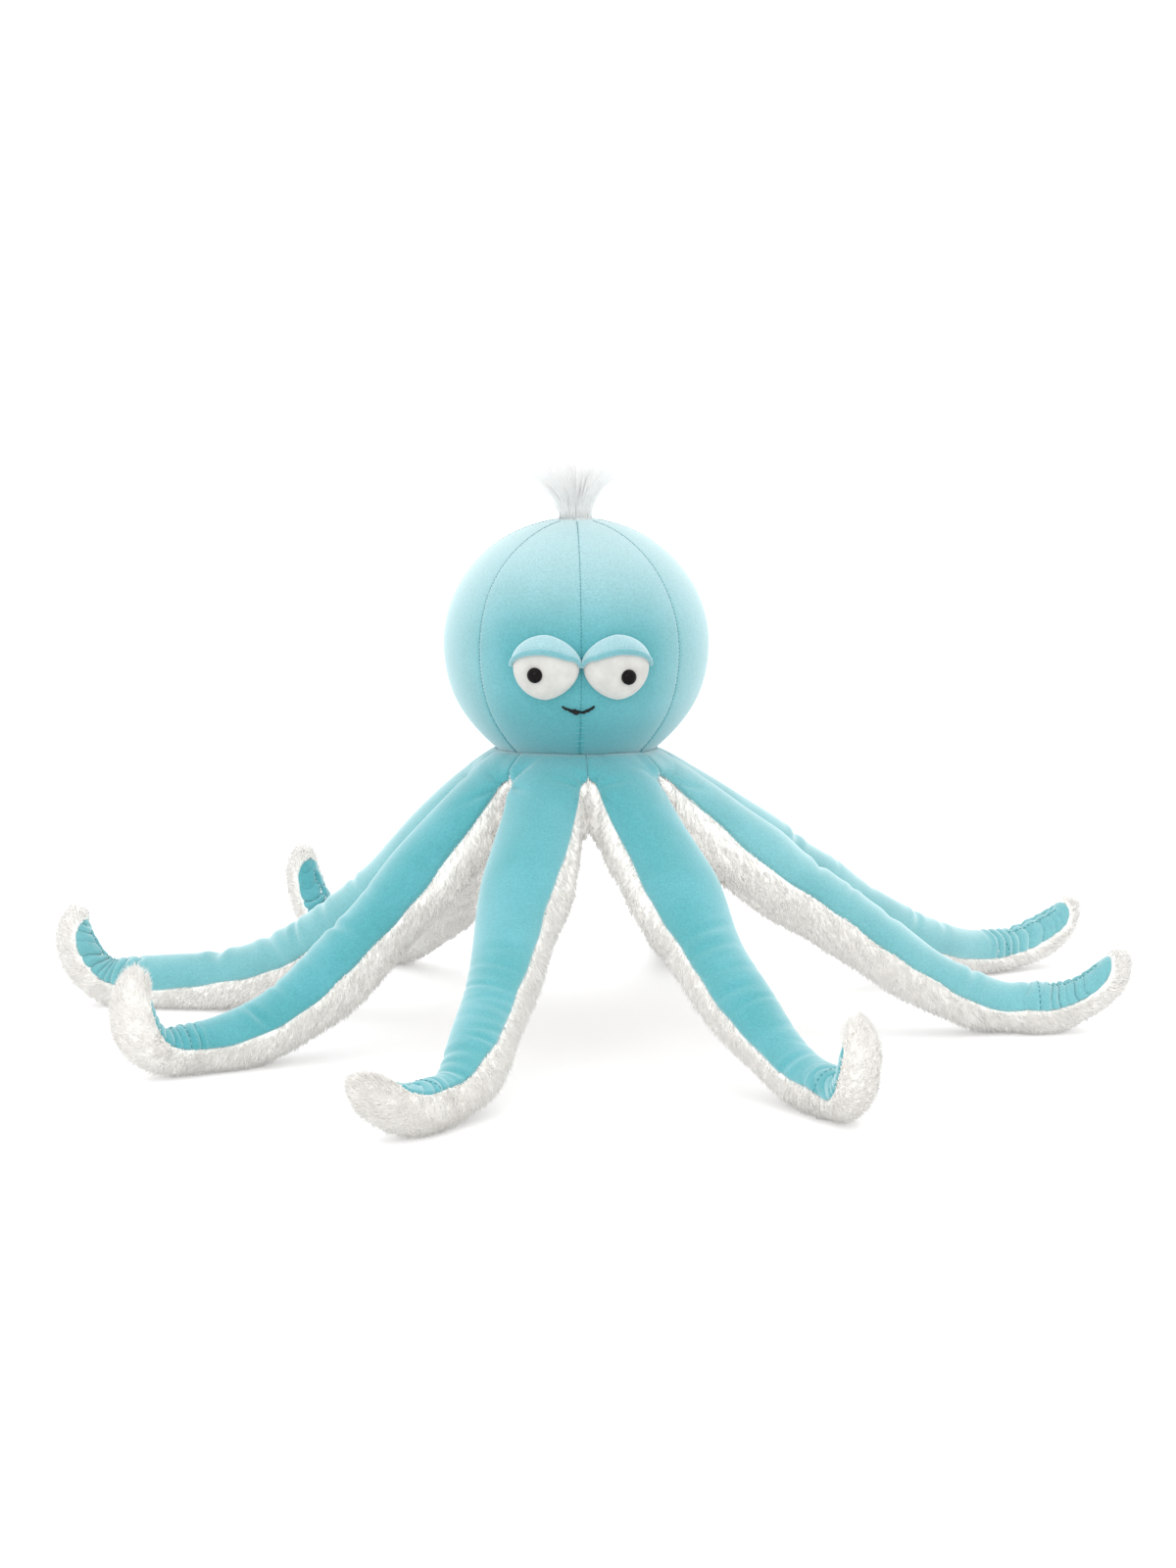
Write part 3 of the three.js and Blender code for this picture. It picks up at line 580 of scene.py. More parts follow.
    def skin(self, along, turn):
        """Points on the outside, at distances along the arm and angles off its top, in the row frame."""
        points, _ = self.tube(np.maximum(along, ROOT_END), turn)
        near = along < ROOT_END
        if near.any():
            start, away = self.root(turn[near])
            end, onward = self.tube(np.full(near.sum(), ROOT_END), turn[near])
            t = ((along[near] - ROOT_START) / (ROOT_END - ROOT_START))[:, None]
            points[near] = (
                (2 * t**3 - 3 * t**2 + 1) * start + (t**3 - 2 * t**2 + t) * away * ROOT_PULL
                + (3 * t**2 - 2 * t**3) * end + (t**3 - t**2) * onward * ROOT_PULL
            )
            points[near] = self.joined(points[near], turn[near])
        return self.to_row(points)

    def joined(self, points, turn):
        """Brings the sides at the root to the walls between the arms: velour as far as the yoke's forks, and
        pile a little further."""
        reach = points[:, 0] + HIP_RADIUS
        off = np.abs(turn)
        further = PILE_FORK * ramp(off, VELOUR_HALF_ANGLE + 3, VELOUR_HALF_ANGLE + 14)
        weight = 1 - ramp(reach, FORK_REACH[0] + further, FORK_REACH[1] + further)
        weight = weight * ramp(off, 40, 70) * (1 - ramp(off, 100, 135))
        y = points[:, 1] + (np.sign(turn) * wall_at(reach) - points[:, 1]) * weight
        return np.stack((points[:, 0], y, points[:, 2]), axis=1)

    def outward(self, along, turn):
        """The way out of the skin, and the way along it towards the tip."""
        step, twist = 0.4 * MM, 1.0
        capped = np.minimum(along, self.length - 2 * step)
        ahead = self.skin(capped + step, turn) - self.skin(capped - step, turn)
        round_ = self.skin(capped, turn + twist) - self.skin(capped, turn - twist)
        return unit(np.cross(ahead, round_)), unit(ahead)

    def within(self, points, turn):
        """Keeps points on this arm's side of the walls that it shares with its neighbours."""
        local = points - self.shoulder
        out, left = flat(self.facing), flat(self.facing + 90)
        local = self.joined(np.stack((local @ out, local @ left, local[:, 2]), axis=1), turn)
        most = wall_at(local[:, 0] + HIP_RADIUS)
        local[:, 1] = np.clip(local[:, 1], -most, most)
        return self.to_row(local)

    def seam(self, along):
        """The angle off the top at which velour meets pile, closing round the tip's end."""
        wave = 1.6 * np.sin(along / (11 * MM) + self.number) + 1.1 * np.sin(along / (4.3 * MM) + 2 * self.number)
        narrowing = np.clip((self.tip_share(along) - self.velour_share + 0.3) / 0.3, 0, 1)
        root_free = ramp(along, 0, 20 * MM)
        return (VELOUR_HALF_ANGLE + wave * root_free) * np.sqrt(np.maximum(1 - narrowing**3, 0))

    def roll(self, along):
        near, far, tip = self.rolls
        turned = near * ramp(along, 0, 60 * MM) + (far - near) * ramp(along, 90 * MM, self.sole_start)
        return turned + (tip - far) * ramp(along, self.tip_start - 15 * MM, self.tip_start + 10 * MM)

    def velour_end(self):
        return self.tip_start + (self.length - self.tip_start) * self.velour_share

    def fullness(self, along, turn):
        """The uneven filling that shows in both fabrics."""
        origin, _, up, side = self.frame_at(np.maximum(along, 0))
        angle = np.radians(turn)[:, None]
        spots = origin + 15 * MM * (up * np.cos(angle) + side * np.sin(angle))
        grown = ramp(along, 5 * MM, 45 * MM) * (1 - 0.7 * ramp(along, self.tip_start, self.length))
        lumps = FRONT_LUMP_PITCH if self.number in FRONT_ARMS else LUMP_PITCH
        uneven = FULLNESS * ripple(spots, lumps, self.number) * grown
        at, far, middle, wide, most = ARM_SWELLS.get(self.number, (0, MM, 0, 1, 0))
        return uneven + most * np.exp(-(((along - at) / far) ** 2) - ((turn - middle) / wide) ** 2)

    def armpit(self, along, turn):
        """How much slimmer an arm is low down beside its neighbours, and fuller just under its velour."""
        off = np.abs(turn)
        low = ramp(off, 120, 140) * (1 - ramp(off, 155, 175))
        side = ramp(off, 74, 90) * (1 - ramp(off, 115, 135))
        return (2.5 * MM * low - 2.2 * MM * side * ramp(along, 0, 20 * MM)) * (1 - ramp(along, 45 * MM, 80 * MM))

    def tip_share(self, along):
        return np.clip((along - self.tip_start) / (self.length - self.tip_start), 0, 1)

    def cap(self, along):
        """How much fuller the pile is round the tip."""
        share = self.tip_share(along)
        most = 0.7 * MM if self.number in FRONT_ARMS else 1.8 * MM
        return most * ramp(share, 0.1, 0.5) * (1 - share**8)

    def velour_relief(self, along, turn, share):
        """How far the velour stands off the skin. Share is 0 in its middle and 1 at its seams."""
        first, last, count, depth = ARM_CREASES[self.number - 1]
        fineness = FINE_CREASE_SHARE if self.number in FRONT_ARMS else 1
        rng = np.random.default_rng(40 + self.number)
        relief = self.fullness(along, turn)
        for middle in np.linspace(first, last, count) + rng.uniform(-0.02, 0.02, count):
            lean, side, width = rng.uniform(-0.06, 0.06), rng.uniform(-45, 45), rng.uniform(28, 62)
            bow = rng.uniform(0.5, 1.5) * MM
            line = middle * self.sole_start + lean * turn * MM - bow * (turn / 40) ** 2
            across = (along - line) / (rng.uniform(1.8, 3.4) * MM * fineness)
            window = np.exp(-(((turn - side) / width) ** 2))
            valley = np.exp(-(across**2)) - 0.45 * np.exp(-(((np.abs(across) - 2.2) / 1.1) ** 2))
            relief -= depth * MM * rng.uniform(0.25, 1) * valley * window
        relief += self.gathers(along, turn)
        rolled = ROLL_DEPTH * ramp(share, 0.86, 1.0) ** 2 * (0.05 + 0.95 * ramp(along, -4 * MM, 12 * MM))
        sewn = 0.3 * MM * ramp(along, 6 * MM, -2 * MM) * ramp(share, 0.8, 1)
        neck = NECK_SEAM_DEPTH * ramp(along, ROOT_START + 7 * MM, ROOT_START + 1 * MM)
        return relief - rolled - sewn - neck + self.forks(along, turn)

    def gathers(self, along, turn):
        """The folds that a drawn thread makes across the inside of the curl, and the dart down its middle."""
        tip = along - self.tip_start
        length = self.length - self.tip_start
        rng = np.random.default_rng(70 + self.number)
        warp = 0.35 * np.sin(turn / 31 + self.number) + 0.25 * np.sin(turn / 17 + 2 * self.number)
        phase = (tip + FOLD_LEAD) / FOLD_PITCH + 0.45 * np.sin(tip / (8.5 * MM) + 1.7 * self.number) + warp
        fold = np.floor(phase).astype(int)
        sizes = rng.uniform(0.25, 1, MOST_FOLDS)
        size = sizes[np.clip(fold, 0, MOST_FOLDS - 1)]
        lobe = np.sqrt(np.abs(np.sin(np.pi * phase))) - 1
        last = 0.85 if self.number in (3, 4) else 0.3
        strong = ramp(tip, -20 * MM, -10 * MM) * (1 - last * ramp(tip, 0.3 * length, 0.75 * length))
        dart_on = ramp(tip, 0, 8 * MM) * (1 - ramp(tip, 0.72 * length, 0.86 * length))
        near = np.exp(-((turn / 8) ** 2))
        pucker = 0.35 * MM * np.sin(tip / (1.5 * MM)) * np.exp(-((turn / 22) ** 2)) * dart_on
        return TIP_FOLDS[self.number - 1] * MM * lobe * size * strong - DART_DEPTH * near * dart_on + pucker

    def forks(self, along, turn):
        """The puckers that run out from where two arms' velour parts."""
        sign = np.sign(turn)
        around = (np.abs(turn) - VELOUR_HALF_ANGLE) / 60
        reach = (along - 2 * MM) / (16 * MM)
        far = np.hypot(around, reach)
        angle = np.arctan2(reach, -around) + 0.4 * sign
        deep = np.where(sign == LEFT_FORK_SIDES.get(self.number, 0), LEFT_PUCKER_DEPTH, PUCKER_DEPTH)
        crease = 0.5 - np.exp(-((np.sin(angle * 2.8 + self.number + sign) / 0.38) ** 2))
        return deep * crease * np.exp(-((far / 0.75) ** 2)) * ramp(far, 0, 0.35)

    def on_velour(self, along, share, proud=0.0):
        """Points on the velour, for shares from -1 to 1 between its two seams."""
        turn = share * (self.seam(along) + 4 * ramp(along, 0, 15 * MM)) + self.roll(along)
        outward, _ = self.outward(along, turn)
        relief = self.velour_relief(along, turn, np.abs(share)) + proud
        return self.within(self.skin(along, turn) + outward * relief[:, None], turn)

    def velour(self, start, end, rows, columns):
        """The laid sheet of velour between two distances."""

        def place(u, w):
            return self.on_velour(start + (end - start) * u, w * 2 - 1)

        return laid_grid(rows, columns, place)

    def backing(self, start, end, rows, columns):
        """The tube that the pile stands on. It also lines the velour."""

        def place(u, w):
            turn = w * 360 - 180
            first = np.maximum(start, start + 10 * MM * ramp(130 - np.abs(turn), 0, 30) * (start < 0))
            along = first + (end - first) * u
            outward, _ = self.outward(along, turn)
            covered = ramp(np.abs(turn - self.roll(along)), self.seam(along) + 3, self.seam(along) - 8)
            inset = PILE_INSET + 2.6 * MM * covered + self.armpit(along, turn)
            inset = np.minimum(inset, self.radius(along) * 0.8)
            relief = self.fullness(along, turn) + self.cap(along) - inset
            return self.within(self.skin(along, turn) + outward * relief[:, None], turn)

        return closed(laid_grid(rows, columns, place))

    def strands(self, shape, start, end, count, length, width, seed):
        """Pile over the part of the arm that velour leaves free."""
        rng = np.random.default_rng(seed)
        steps = (np.arange(count) + 0.5) / count
        along = start + (end - start) * (steps + rng.uniform(-0.5, 0.5, count) / count * 40)
        turn = (np.arange(count) * GOLDEN_SHARE % 1) * 360 - 180 + rng.uniform(-4, 4, count)
        along = np.clip(along, start, end)
        off = np.abs(turn - self.roll(along))
        keep = off > self.seam(along) + np.where(along > self.velour_end(), -1e3, -1.0)
        keep &= (along > -4 * MM) | (off > 140)
        keep &= rng.uniform(0, 1, count) * 0.9 * TIP_ROOT_RADIUS < self.radius(along)
        along, turn, off = along[keep], turn[keep], off[keep]
        outward, ahead = self.outward(along, turn)
        relief = self.fullness(along, turn) + self.cap(along) - PILE_INSET - self.armpit(along, turn)
        points = self.within(self.skin(along, turn) + outward * relief[:, None], turn)
        away = np.sign(turn - self.roll(along)) * ramp(180 - off, 0, 60) * 0.8
        combed = unit(ahead + np.cross(outward, ahead) * away[:, None])
        lay = strand_lay(points, combed, outward, 0.5, seed)
        blunt = ramp(self.tip_share(along), 0.86, 1)[:, None]
        lay = unit(lay * (1 - 0.8 * blunt) + outward * 0.3 * blunt)
        return pile_strands(shape, points, outward, lay, length, width, rng)


# Head


def head_angle(angle):
    """An angle from the front towards the viewer's right, turned as the head is."""
    return np.radians(angle + HEAD_TURN)


def neck_height(angle):
    return NECK_HEIGHT + NECK_FRONT_RISE * np.maximum(np.cos(head_angle(angle)), 0)


def neck_level(angle):
    """The level, in degrees below the widest ring, at which the head ends at the neck."""
    return -np.degrees(np.arcsin((HEAD_HEIGHT - neck_height(angle)) / LOWER_DEPTH))


def seam_offset(angle):
    """Degrees from the nearest seam of the head."""
    gaps = [np.abs((angle - seam + 180) % 360 - 180) for seam in GORE_ANGLES]
    return np.min(gaps, axis=0)


def head_skin(angle, level):
    """Points of the head for angles from the front and levels, which are angles up from its widest ring."""
    level = np.radians(level)
    depth = np.where(level > 0, CROWN_RISE, LOWER_DEPTH)
    offset = seam_offset(angle)
    arc = np.radians(offset) * HEAD_RADIUS * np.cos(level)
    away = np.minimum(offset / 22, 1)
    puff = GORE_PUFF * (np.sin(away * np.pi / 2) - 1) * np.cos(level)
    groove = -SEAM_GROOVE * np.exp(-((arc / SEAM_WIDTH) ** 2))
    hand_sewn = ramp(-level, 0.42, 0.5) * (np.abs(angle) < 20)
    pulled = (0.2 + 0.35 * hand_sewn) * MM * np.sin(level * HEAD_RADIUS / (0.52 * MM))
    sewn = pulled * np.exp(-((arc / (2.6 * MM)) ** 2))
    crown = ramp(level, 1.44, 1.30)
    radius = HEAD_RADIUS * np.cos(level) + (puff + groove + sewn) * crown
    fuller, side, middle = HEAD_BULGE
    bulge = np.exp(-(((angle - side) / 38) ** 2) - ((level - middle) / 0.4) ** 2)
    radius = radius + fuller * bulge * crown
    low = ramp(-level, 0.35, 0.95)
    radius = radius - 1.6 * MM * np.sin(low * np.pi / 2)
    height = HEAD_HEIGHT + depth * np.sin(level)
    a = head_angle(angle)
    return np.stack((radius * np.sin(a), -radius * np.cos(a), height), axis=1) + AXIS


def face_point(x, z, proud=0.0):
    """The point of the head's front at a distance right of the face's middle, and a height."""
    rise = z - HEAD_HEIGHT
    depth = CROWN_RISE if rise > 0 else LOWER_DEPTH
    level = math.asin(rise / depth)
    angle = math.degrees(math.asin(x / (HEAD_RADIUS * math.cos(level))))
    point = head_skin(np.array([angle]), np.array([math.degrees(level)]))[0]
    out = unit(np.array((*(point - AXIS)[:2], rise)))
    return Vector(point + out * proud)


def head_cover():
    """Eight gores in one laid grid that is closer along the seams, tucked in under the neck."""
    columns = len(GORE_ANGLES) * GORE_COLUMNS
    seams = np.array([*GORE_ANGLES, GORE_ANGLES[0] + 360], dtype=float)

    def place(u, w):
        gore = u * len(GORE_ANGLES)
        index = np.minimum(np.floor(gore + 1e-6).astype(int), len(GORE_ANGLES) - 1)
        share = gore - index
        eased = share - 0.11 * np.sin(math.tau * share)
        angle = seams[index] + (seams[index + 1] - seams[index]) * eased
        bottom = neck_level(angle)
        tuck = 0.06
        level = bottom + (90 - bottom) * np.clip((w - tuck) / (1 - tuck), 0, 1)
        points = head_skin(angle, level)
        inner = np.clip(1 - w / tuck, 0, 1)[:, None]
        centre = AXIS + np.array((0, 0, 1)) * (neck_height(angle)[:, None] - 6 * MM)
        return points + (centre - points) * inner**1.4

    return closed(laid_grid(columns, HEAD_ROWS, place))


# Eyes


def eye_matrix(side):
    """The place on the face where an eye sits, with its -Y out of the head."""
    angle = math.asin(side * EYE_SPACING / 2 / HEAD_RADIUS)
    out = (HEAD_RADIUS * math.sin(angle), -HEAD_RADIUS * math.cos(angle), HEAD_HEIGHT - EYE_DROP)
    turn = Matrix.Rotation(math.radians(HEAD_TURN), 4, "Z")
    return Matrix.Translation(Vector(AXIS)) @ turn @ Matrix.Translation(out) @ Matrix.Rotation(angle, 4, "Z")


def eye_point(side, across, round_angle, proud=0.0):
    """A point of the eye's cushion. Across is -1 to 1 along the eye, and the angle is up from its front."""
    ring = math.sqrt(max(1 - across * across, 0))
    inner = max(-side * across, 0)
    taper = 1 - EYE_TAPER * inner
    angle = math.radians(round_angle)
    depth = EYE_BULGE + proud
    x = across * (EYE_HALF_WIDTH + proud)
    y = -depth * ring * math.cos(angle)
    z = (EYE_HALF_HEIGHT * taper + proud) * ring * math.sin(angle)
    return Vector((x, y, z + 0.8 * MM * across * across))


def lid_angle(side, across):
    """Where the lid ends, which rises at the eye's inner corner and leaves it free."""
    inner = max(-side * across, 0)
    return LID_ANGLE + LID_RISE * max(inner - LID_RISE_START, 0) / (1 - LID_RISE_START)


def eye_shell(side, low, high, proud, rows, columns):
    """Part of the cushion's form from a low angle, which may vary across the eye, to a high one."""

    def place(u, w):
        spots = []
        for a, b in zip(u.tolist(), w.tolist()):
            across = -math.cos(math.pi * a)
            start = low(side, across) if callable(low) else low
            spots.append(eye_matrix(side) @ eye_point(side, across, start + (high - start) * b, proud))
        return spots

    return laid_grid(rows, columns, place)


def tube_along(points, radii, sides):
    """A closed round tube along points, with a radius at each."""
    points = [Vector(p) for p in points]

    def place(u, w):
        at = u * (len(points) - 1)
        made = []
        for t, share in zip(at.tolist(), w.tolist()):
            i = min(int(t), len(points) - 2)
            centre = points[i].lerp(points[i + 1], t - i)
            before, after = points[max(i - 1, 0)], points[min(i + 2, len(points) - 1)]
            tangent = (after - before).normalized()
            first = tangent.cross(Vector((0.21, 0.97, 0.12))).normalized()
            second = tangent.cross(first)
            radius = radii[i] + (radii[i + 1] - radii[i]) * (t - i)
            angle = math.tau * share
            made.append(centre + radius * (first * math.cos(angle) + second * math.sin(angle)))
        return made

    return closed(laid_grid(len(points) - 1, sides, place))


# Materials


def linear(colour):
    """An sRGB hex colour as the linear one that the shaders take."""
    parts = [int(colour[i : i + 2], 16) / 255 for i in (1, 3, 5)]
    return [p / 12.92 if p <= 0.04045 else ((p + 0.055) / 1.055) ** 2.4 for p in parts]


def add_node(material, kind, settings=None, links=None):
    """Adds a node, sets its properties or inputs by name, and links inputs from (node, output) pairs."""
    node = material.node_tree.nodes.new(kind)
    for key, value in (settings or {}).items():
        if hasattr(node, key):
            setattr(node, key, value)
        else:
            node.inputs[key].default_value = value
    for key, (source, output) in (links or {}).items():
        material.node_tree.links.new(source.outputs[output], node.inputs[key])
    return node


def blank_material(name):
    material = bpy.data.materials.new(name)
    material.use_nodes = True
    material.node_tree.nodes.clear()
    return material


def finish_material(material, shader):
    add_node(material, "ShaderNodeOutputMaterial", links={"Surface": (shader, 0)})
    return material


def noise(material, where, size, detail, roughness=0.5):
    """Noise with swells of a real size."""
    settings = {"Scale": 1 / size, "Detail": detail, "Roughness": roughness}
    return add_node(material, "ShaderNodeTexNoise", settings, {"Vector": where}), 0


def toned(name, patch, dark, light, low=0.35, high=0.65):
    """A material, its place node, and its colour, which drifts between two tones in patches of a real size."""
    material = blank_material(name)
    where = (add_node(material, "ShaderNodeTexCoord"), "Object")
    patches = noise(material, where, patch, 3.0, 0.55)
    tones = add_node(material, "ShaderNodeValToRGB", links={"Fac": patches})
    for element, position, colour in zip(tones.color_ramp.elements, (low, high), (dark, light)):
        element.position = position
        element.color = (*linear(colour), 1)
    return material, where, (tones, 0)


def bumped(material, strength, depth, height):
    return add_node(material, "ShaderNodeBump", {"Strength": strength, "Distance": depth}, {"Height": height}), 0


def surfaced(material, settings, links):
    """Ends a material in a principled surface."""
    return finish_material(material, add_node(material, "ShaderNodeBsdfPrincipled", settings, links))


def short_velour(name, dark, light, sheen, painted_bands=None):
    """Polyester velour with a 1 mm nap: matt and deep face on, pale where the nap is seen from its side.
    Painted bands mix painted shade and painted sheen into the base colour, as the head's table lists them."""
    material, where, tones = toned(name, 28 * MM, dark, light)
    if painted_bands:
        axes = add_node(material, "ShaderNodeSeparateXYZ", links={"Vector": where})
        # Each band paints shade or sheen into the base colour over a range along one axis.
        for axis, low, high, most, colour in painted_bands:
            turned = add_node(
                material, "ShaderNodeMapRange",
                {"interpolation_type": "SMOOTHSTEP", "From Min": low * MM, "From Max": high * MM, "To Max": most},
                {"Value": (axes, axis)},
            )
            shade = add_node(
                material, "ShaderNodeMix", {"data_type": "RGBA", "B": (*linear(colour), 1)},
                {"Factor": (turned, 0), "A": tones},
            )
            tones = (shade, 2)
    # The nap's grain is 0.3 mm and is drawn at 1 mm, or it would not show.
    grain = noise(material, where, 1.0 * MM, 2.0)
    speckle = add_node(
        material, "ShaderNodeMix",
        {"data_type": "RGBA", "blend_type": "OVERLAY", "Factor": 0.26},
        {"A": tones, "B": grain},
    )
    brushed = noise(material, where, 5 * MM, 2.0)
    height = add_node(material, "ShaderNodeMath", {"operation": "ADD"}, {0: grain, 1: brushed})
    bump = bumped(material, 0.35, 0.25 * MM, (height, 0))
    settings = {
        "Roughness": 0.95, "Specular IOR Level": 0.15, "Sheen Weight": sheen, "Sheen Roughness": 0.55,
        "Sheen Tint": (*linear("#F2FDFF"), 1),
    }
    return surfaced(material, settings, {"Base Color": (speckle, 2), "Normal": bump})


def long_pile(name, dark, light, painted_glow):
    """Brushed polyester pile, 5 mm long: white, soft and a little warm between its strands. Its faint emission is
    painted light, a glow that lifts the shade among the strands."""
    material, _, tones = toned(name, 9 * MM, dark, light, 0.3, 0.6)
    settings = {
        "Roughness": 0.9, "Specular IOR Level": 0.12, "Sheen Weight": 0.45, "Sheen Roughness": 0.6,
        "Emission Color": (1, 1, 1, 1), "Emission Strength": painted_glow,
    }
    return surfaced(material, settings, {"Base Color": tones})


def brushed_felt(name, dark, light):
    """Brushed white felt over filling: matt, with a fine clouded nap."""
    material, where, tones = toned(name, 7 * MM, dark, light)
    bump = bumped(material, 0.3, 0.2 * MM, noise(material, where, 0.8 * MM, 3.0))
    settings = {"Roughness": 0.92, "Specular IOR Level": 0.15, "Sheen Weight": 0.3, "Sheen Roughness": 0.5}
    return surfaced(material, settings, {"Base Color": tones, "Normal": bump})


def spun_thread(name, dark, light):
    """Twisted polyester thread, whose tone drifts along it."""
    material, _, tones = toned(name, 1.2 * MM, dark, light)
    return surfaced(material, {"Roughness": 0.6, "Specular IOR Level": 0.3}, {"Base Color": tones})


def polished_bead(name, dark, light):
    """Black ABS, moulded and polished, so it mirrors the lights."""
    material, _, tones = toned(name, 3 * MM, dark, light)
    settings = {"Roughness": 0.14, "IOR": 1.45, "Specular IOR Level": 0.14}
    return surfaced(material, settings, {"Base Color": tones})


def studio_floor(name):
    """Matt white studio paper."""
    material = blank_material(name)
    paper = add_node(material, "ShaderNodeBsdfDiffuse", {"Color": (1, 1, 1, 1)})
    lit = add_node(material, "ShaderNodeEmission", {"Color": (1, 1, 1, 1), "Strength": 1.25})
    shader = add_node(material, "ShaderNodeMixShader", {"Fac": 0.2}, {1: (paper, 0), 2: (lit, 0)})
    return finish_material(material, shader)


MATERIALS = {}
# The arms that take a paler copy of the velour, painted sheen for their nap seen at a grazing angle
SHEEN_PAINTED_ARMS = (3, 4, 7)
# Painted shade low on the head and painted sheen on its sides and crown, in its base colour: the axis, from and to
# in mm, how much of the tone and the tone
HEAD_PAINTED_SHADE_AND_SHEEN = (
    ("Z", 190, 156, 1.0, "#14858F"),
    ("X", 30, 66, 0.5, "#9CBFC3"),
    ("X", -34, -70, 0.5, "#9CBFC3"),
    ("Z", 210, 268, 0.6, "#B4CBCD"),
)


def make_materials():
    MATERIALS.update(
        velour=short_velour("turquoise_velour", "#4A9BA2", "#55A2AB", 0.8),
        # The head's velour, with painted shade low down and painted sheen on its sides and crown in its base colour
        crown=short_velour("turquoise_velour_crown", "#46969D", "#529EA7", 0.85, HEAD_PAINTED_SHADE_AND_SHEEN),
        # A paler copy of the arms' velour: painted sheen
        side=short_velour("turquoise_velour_side", "#63A5AB", "#6EAEB4", 1.0),
        lid=short_velour("pale_lid_velour", "#89B1B8", "#93BAC1", 1.0),
        hem=short_velour("hem_velour", "#649EA6", "#70A8B0", 0.9),
        # The pile and the tuft glow faintly: painted light that lifts their shade
        pile=long_pile("white_long_pile", "#F6F3EE", "#FEFCF8", 0.03),
        tuft=long_pile("white_tuft", "#FBFAF8", "#FFFFFF", 0.06),
        felt=brushed_felt("white_felt", "#BDBCB8", "#C8C7C3"),
        seam=spun_thread("teal_thread", "#2F7680", "#3D848E"),
        black=spun_thread("black_thread", "#040404", "#0B0A0A"),
        bead=polished_bead("black_bead", "#050404", "#0C0908"),
    )


# Settings


class PlushSettings(bpy.types.PropertyGroup):
    pile_length: FloatProperty(
        name="Pile length", description="How long the white pile is", default=5 * MM, unit="LENGTH"
    )
    pile_width: FloatProperty(
        name="Strand width", description="Half the width of a lock of pile at its root", default=0.38 * MM,
        unit="LENGTH", precision=5,
    )
    limb_strands: IntProperty(
        name="Locks on a limb", description="How many locks of pile are tried on each limb", default=30000
    )
    tip_strands: IntProperty(
        name="Locks on a tip", description="How many locks of pile are tried on each tip", default=10000
    )
    base_strands: IntProperty(
        name="Locks on the base", description="How many locks of pile are on the core and base", default=12000
    )
    gusset_strands: IntProperty(
        name="Locks on a gusset", description="How many locks of pile are under each fork of the yoke", default=900
    )
    tuft_strands: IntProperty(
        name="Strands in the tuft", description="How many strands stand in the tuft", default=1500
    )
    stitch_pitch: FloatProperty(
        name="Stitch pitch", description="From one stitch of a head seam to the next", default=1.9 * MM,
        unit="LENGTH", precision=5,
    )


class FaceSettings(bpy.types.PropertyGroup):
    mouth_height: FloatProperty(
        name="Mouth height", description="Height of the lowest point of the smile", default=180.6 * MM,
        unit="LENGTH",
    )
    mouth_thread: FloatProperty(
        name="Mouth thread", description="Half the thickness of the smile's thread", default=0.88 * MM,
        unit="LENGTH", precision=5,
    )


# Operators


def all_arms():
    return [Arm(number) for number in range(1, ARM_COUNT + 1)]


def bend_limb(piece):
    """Bakes a limb cover's place into its mesh."""
    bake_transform(piece)


def bend_tip(piece):
    """Bakes a tip cover's place into its mesh."""
    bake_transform(piece)


def piled(name, bm, strands, finish="pile"):
    """A backing and its strands in one mesh. The strands are points, triangles and the way each point faces."""
    points, triangles, facing = strands
    first = len(bm.verts)
    mesh = triangle_mesh("strands", points, triangles)
    bm.from_mesh(mesh)
    bpy.data.meshes.remove(mesh)
    piece = mesh_object(name, bm, MATERIALS[finish])
    soft_normals(piece.data, first, facing)
    return piece


def thread_piece(name, roots, ends, widths):
    """Short straight stitches as one piece."""
    mesh = triangle_mesh(name, *repeated(template(6, 1, 1.0), roots, ends, np.zeros_like(roots), widths))
    return placed(name, mesh, MATERIALS["seam"])


class OCTOPUS_OT_yoke(bpy.types.Operator):
    """Lines the yoke round the neck and sews its seams"""

    bl_idname = "octopus.yoke"
    bl_label = "Yoke"

    def execute(self, context):
        radii, heights = np.array(YOKE_OUTLINE).T * MM

        def place(u, w):
            at = w * (len(radii) - 1)
            angle = math.tau * u
            steps = np.arange(len(radii))
            radius, height = np.interp(at, steps, radii), np.interp(at, steps, heights)
            height = height + 3 * MM * np.maximum(-np.sin(angle), 0) * ramp(radius, 54 * MM, 44 * MM)
            return np.stack((radius * np.cos(angle), radius * np.sin(angle), height), axis=1) + AXIS

        lining = mesh_object("yoke_lining", closed(laid_grid(96, 24, place)), MATERIALS["velour"])
        roots, ends = [], []
        for arm in all_arms():
            left = flat(arm.facing + ARM_PITCH / 2 + 90)
            along = np.arange(ROOT_START + 6 * MM, -5 * MM, YOKE_STITCH_PITCH)
            middles = arm.on_velour(along, np.full(len(along), 0.97), 0.9 * MM)
            roots.extend(middles - left * 0.7 * MM)
            ends.extend(middles + left * 1.7 * MM)
        for pitch, half, rise in NECK_ROWS:
            for angle in np.arange(0, 360, pitch):
                pair = head_skin(angle + np.array((-half, half)), np.full(2, neck_level(angle) + rise))
                roots.append(pair[0])
                ends.append(pair[1])
        stitches = thread_piece("yoke_stitches", np.array(roots), np.array(ends), np.full(len(roots), 0.3 * MM))
        for piece in (lining, stitches):
            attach(piece, "trunk")
        return {"FINISHED"}


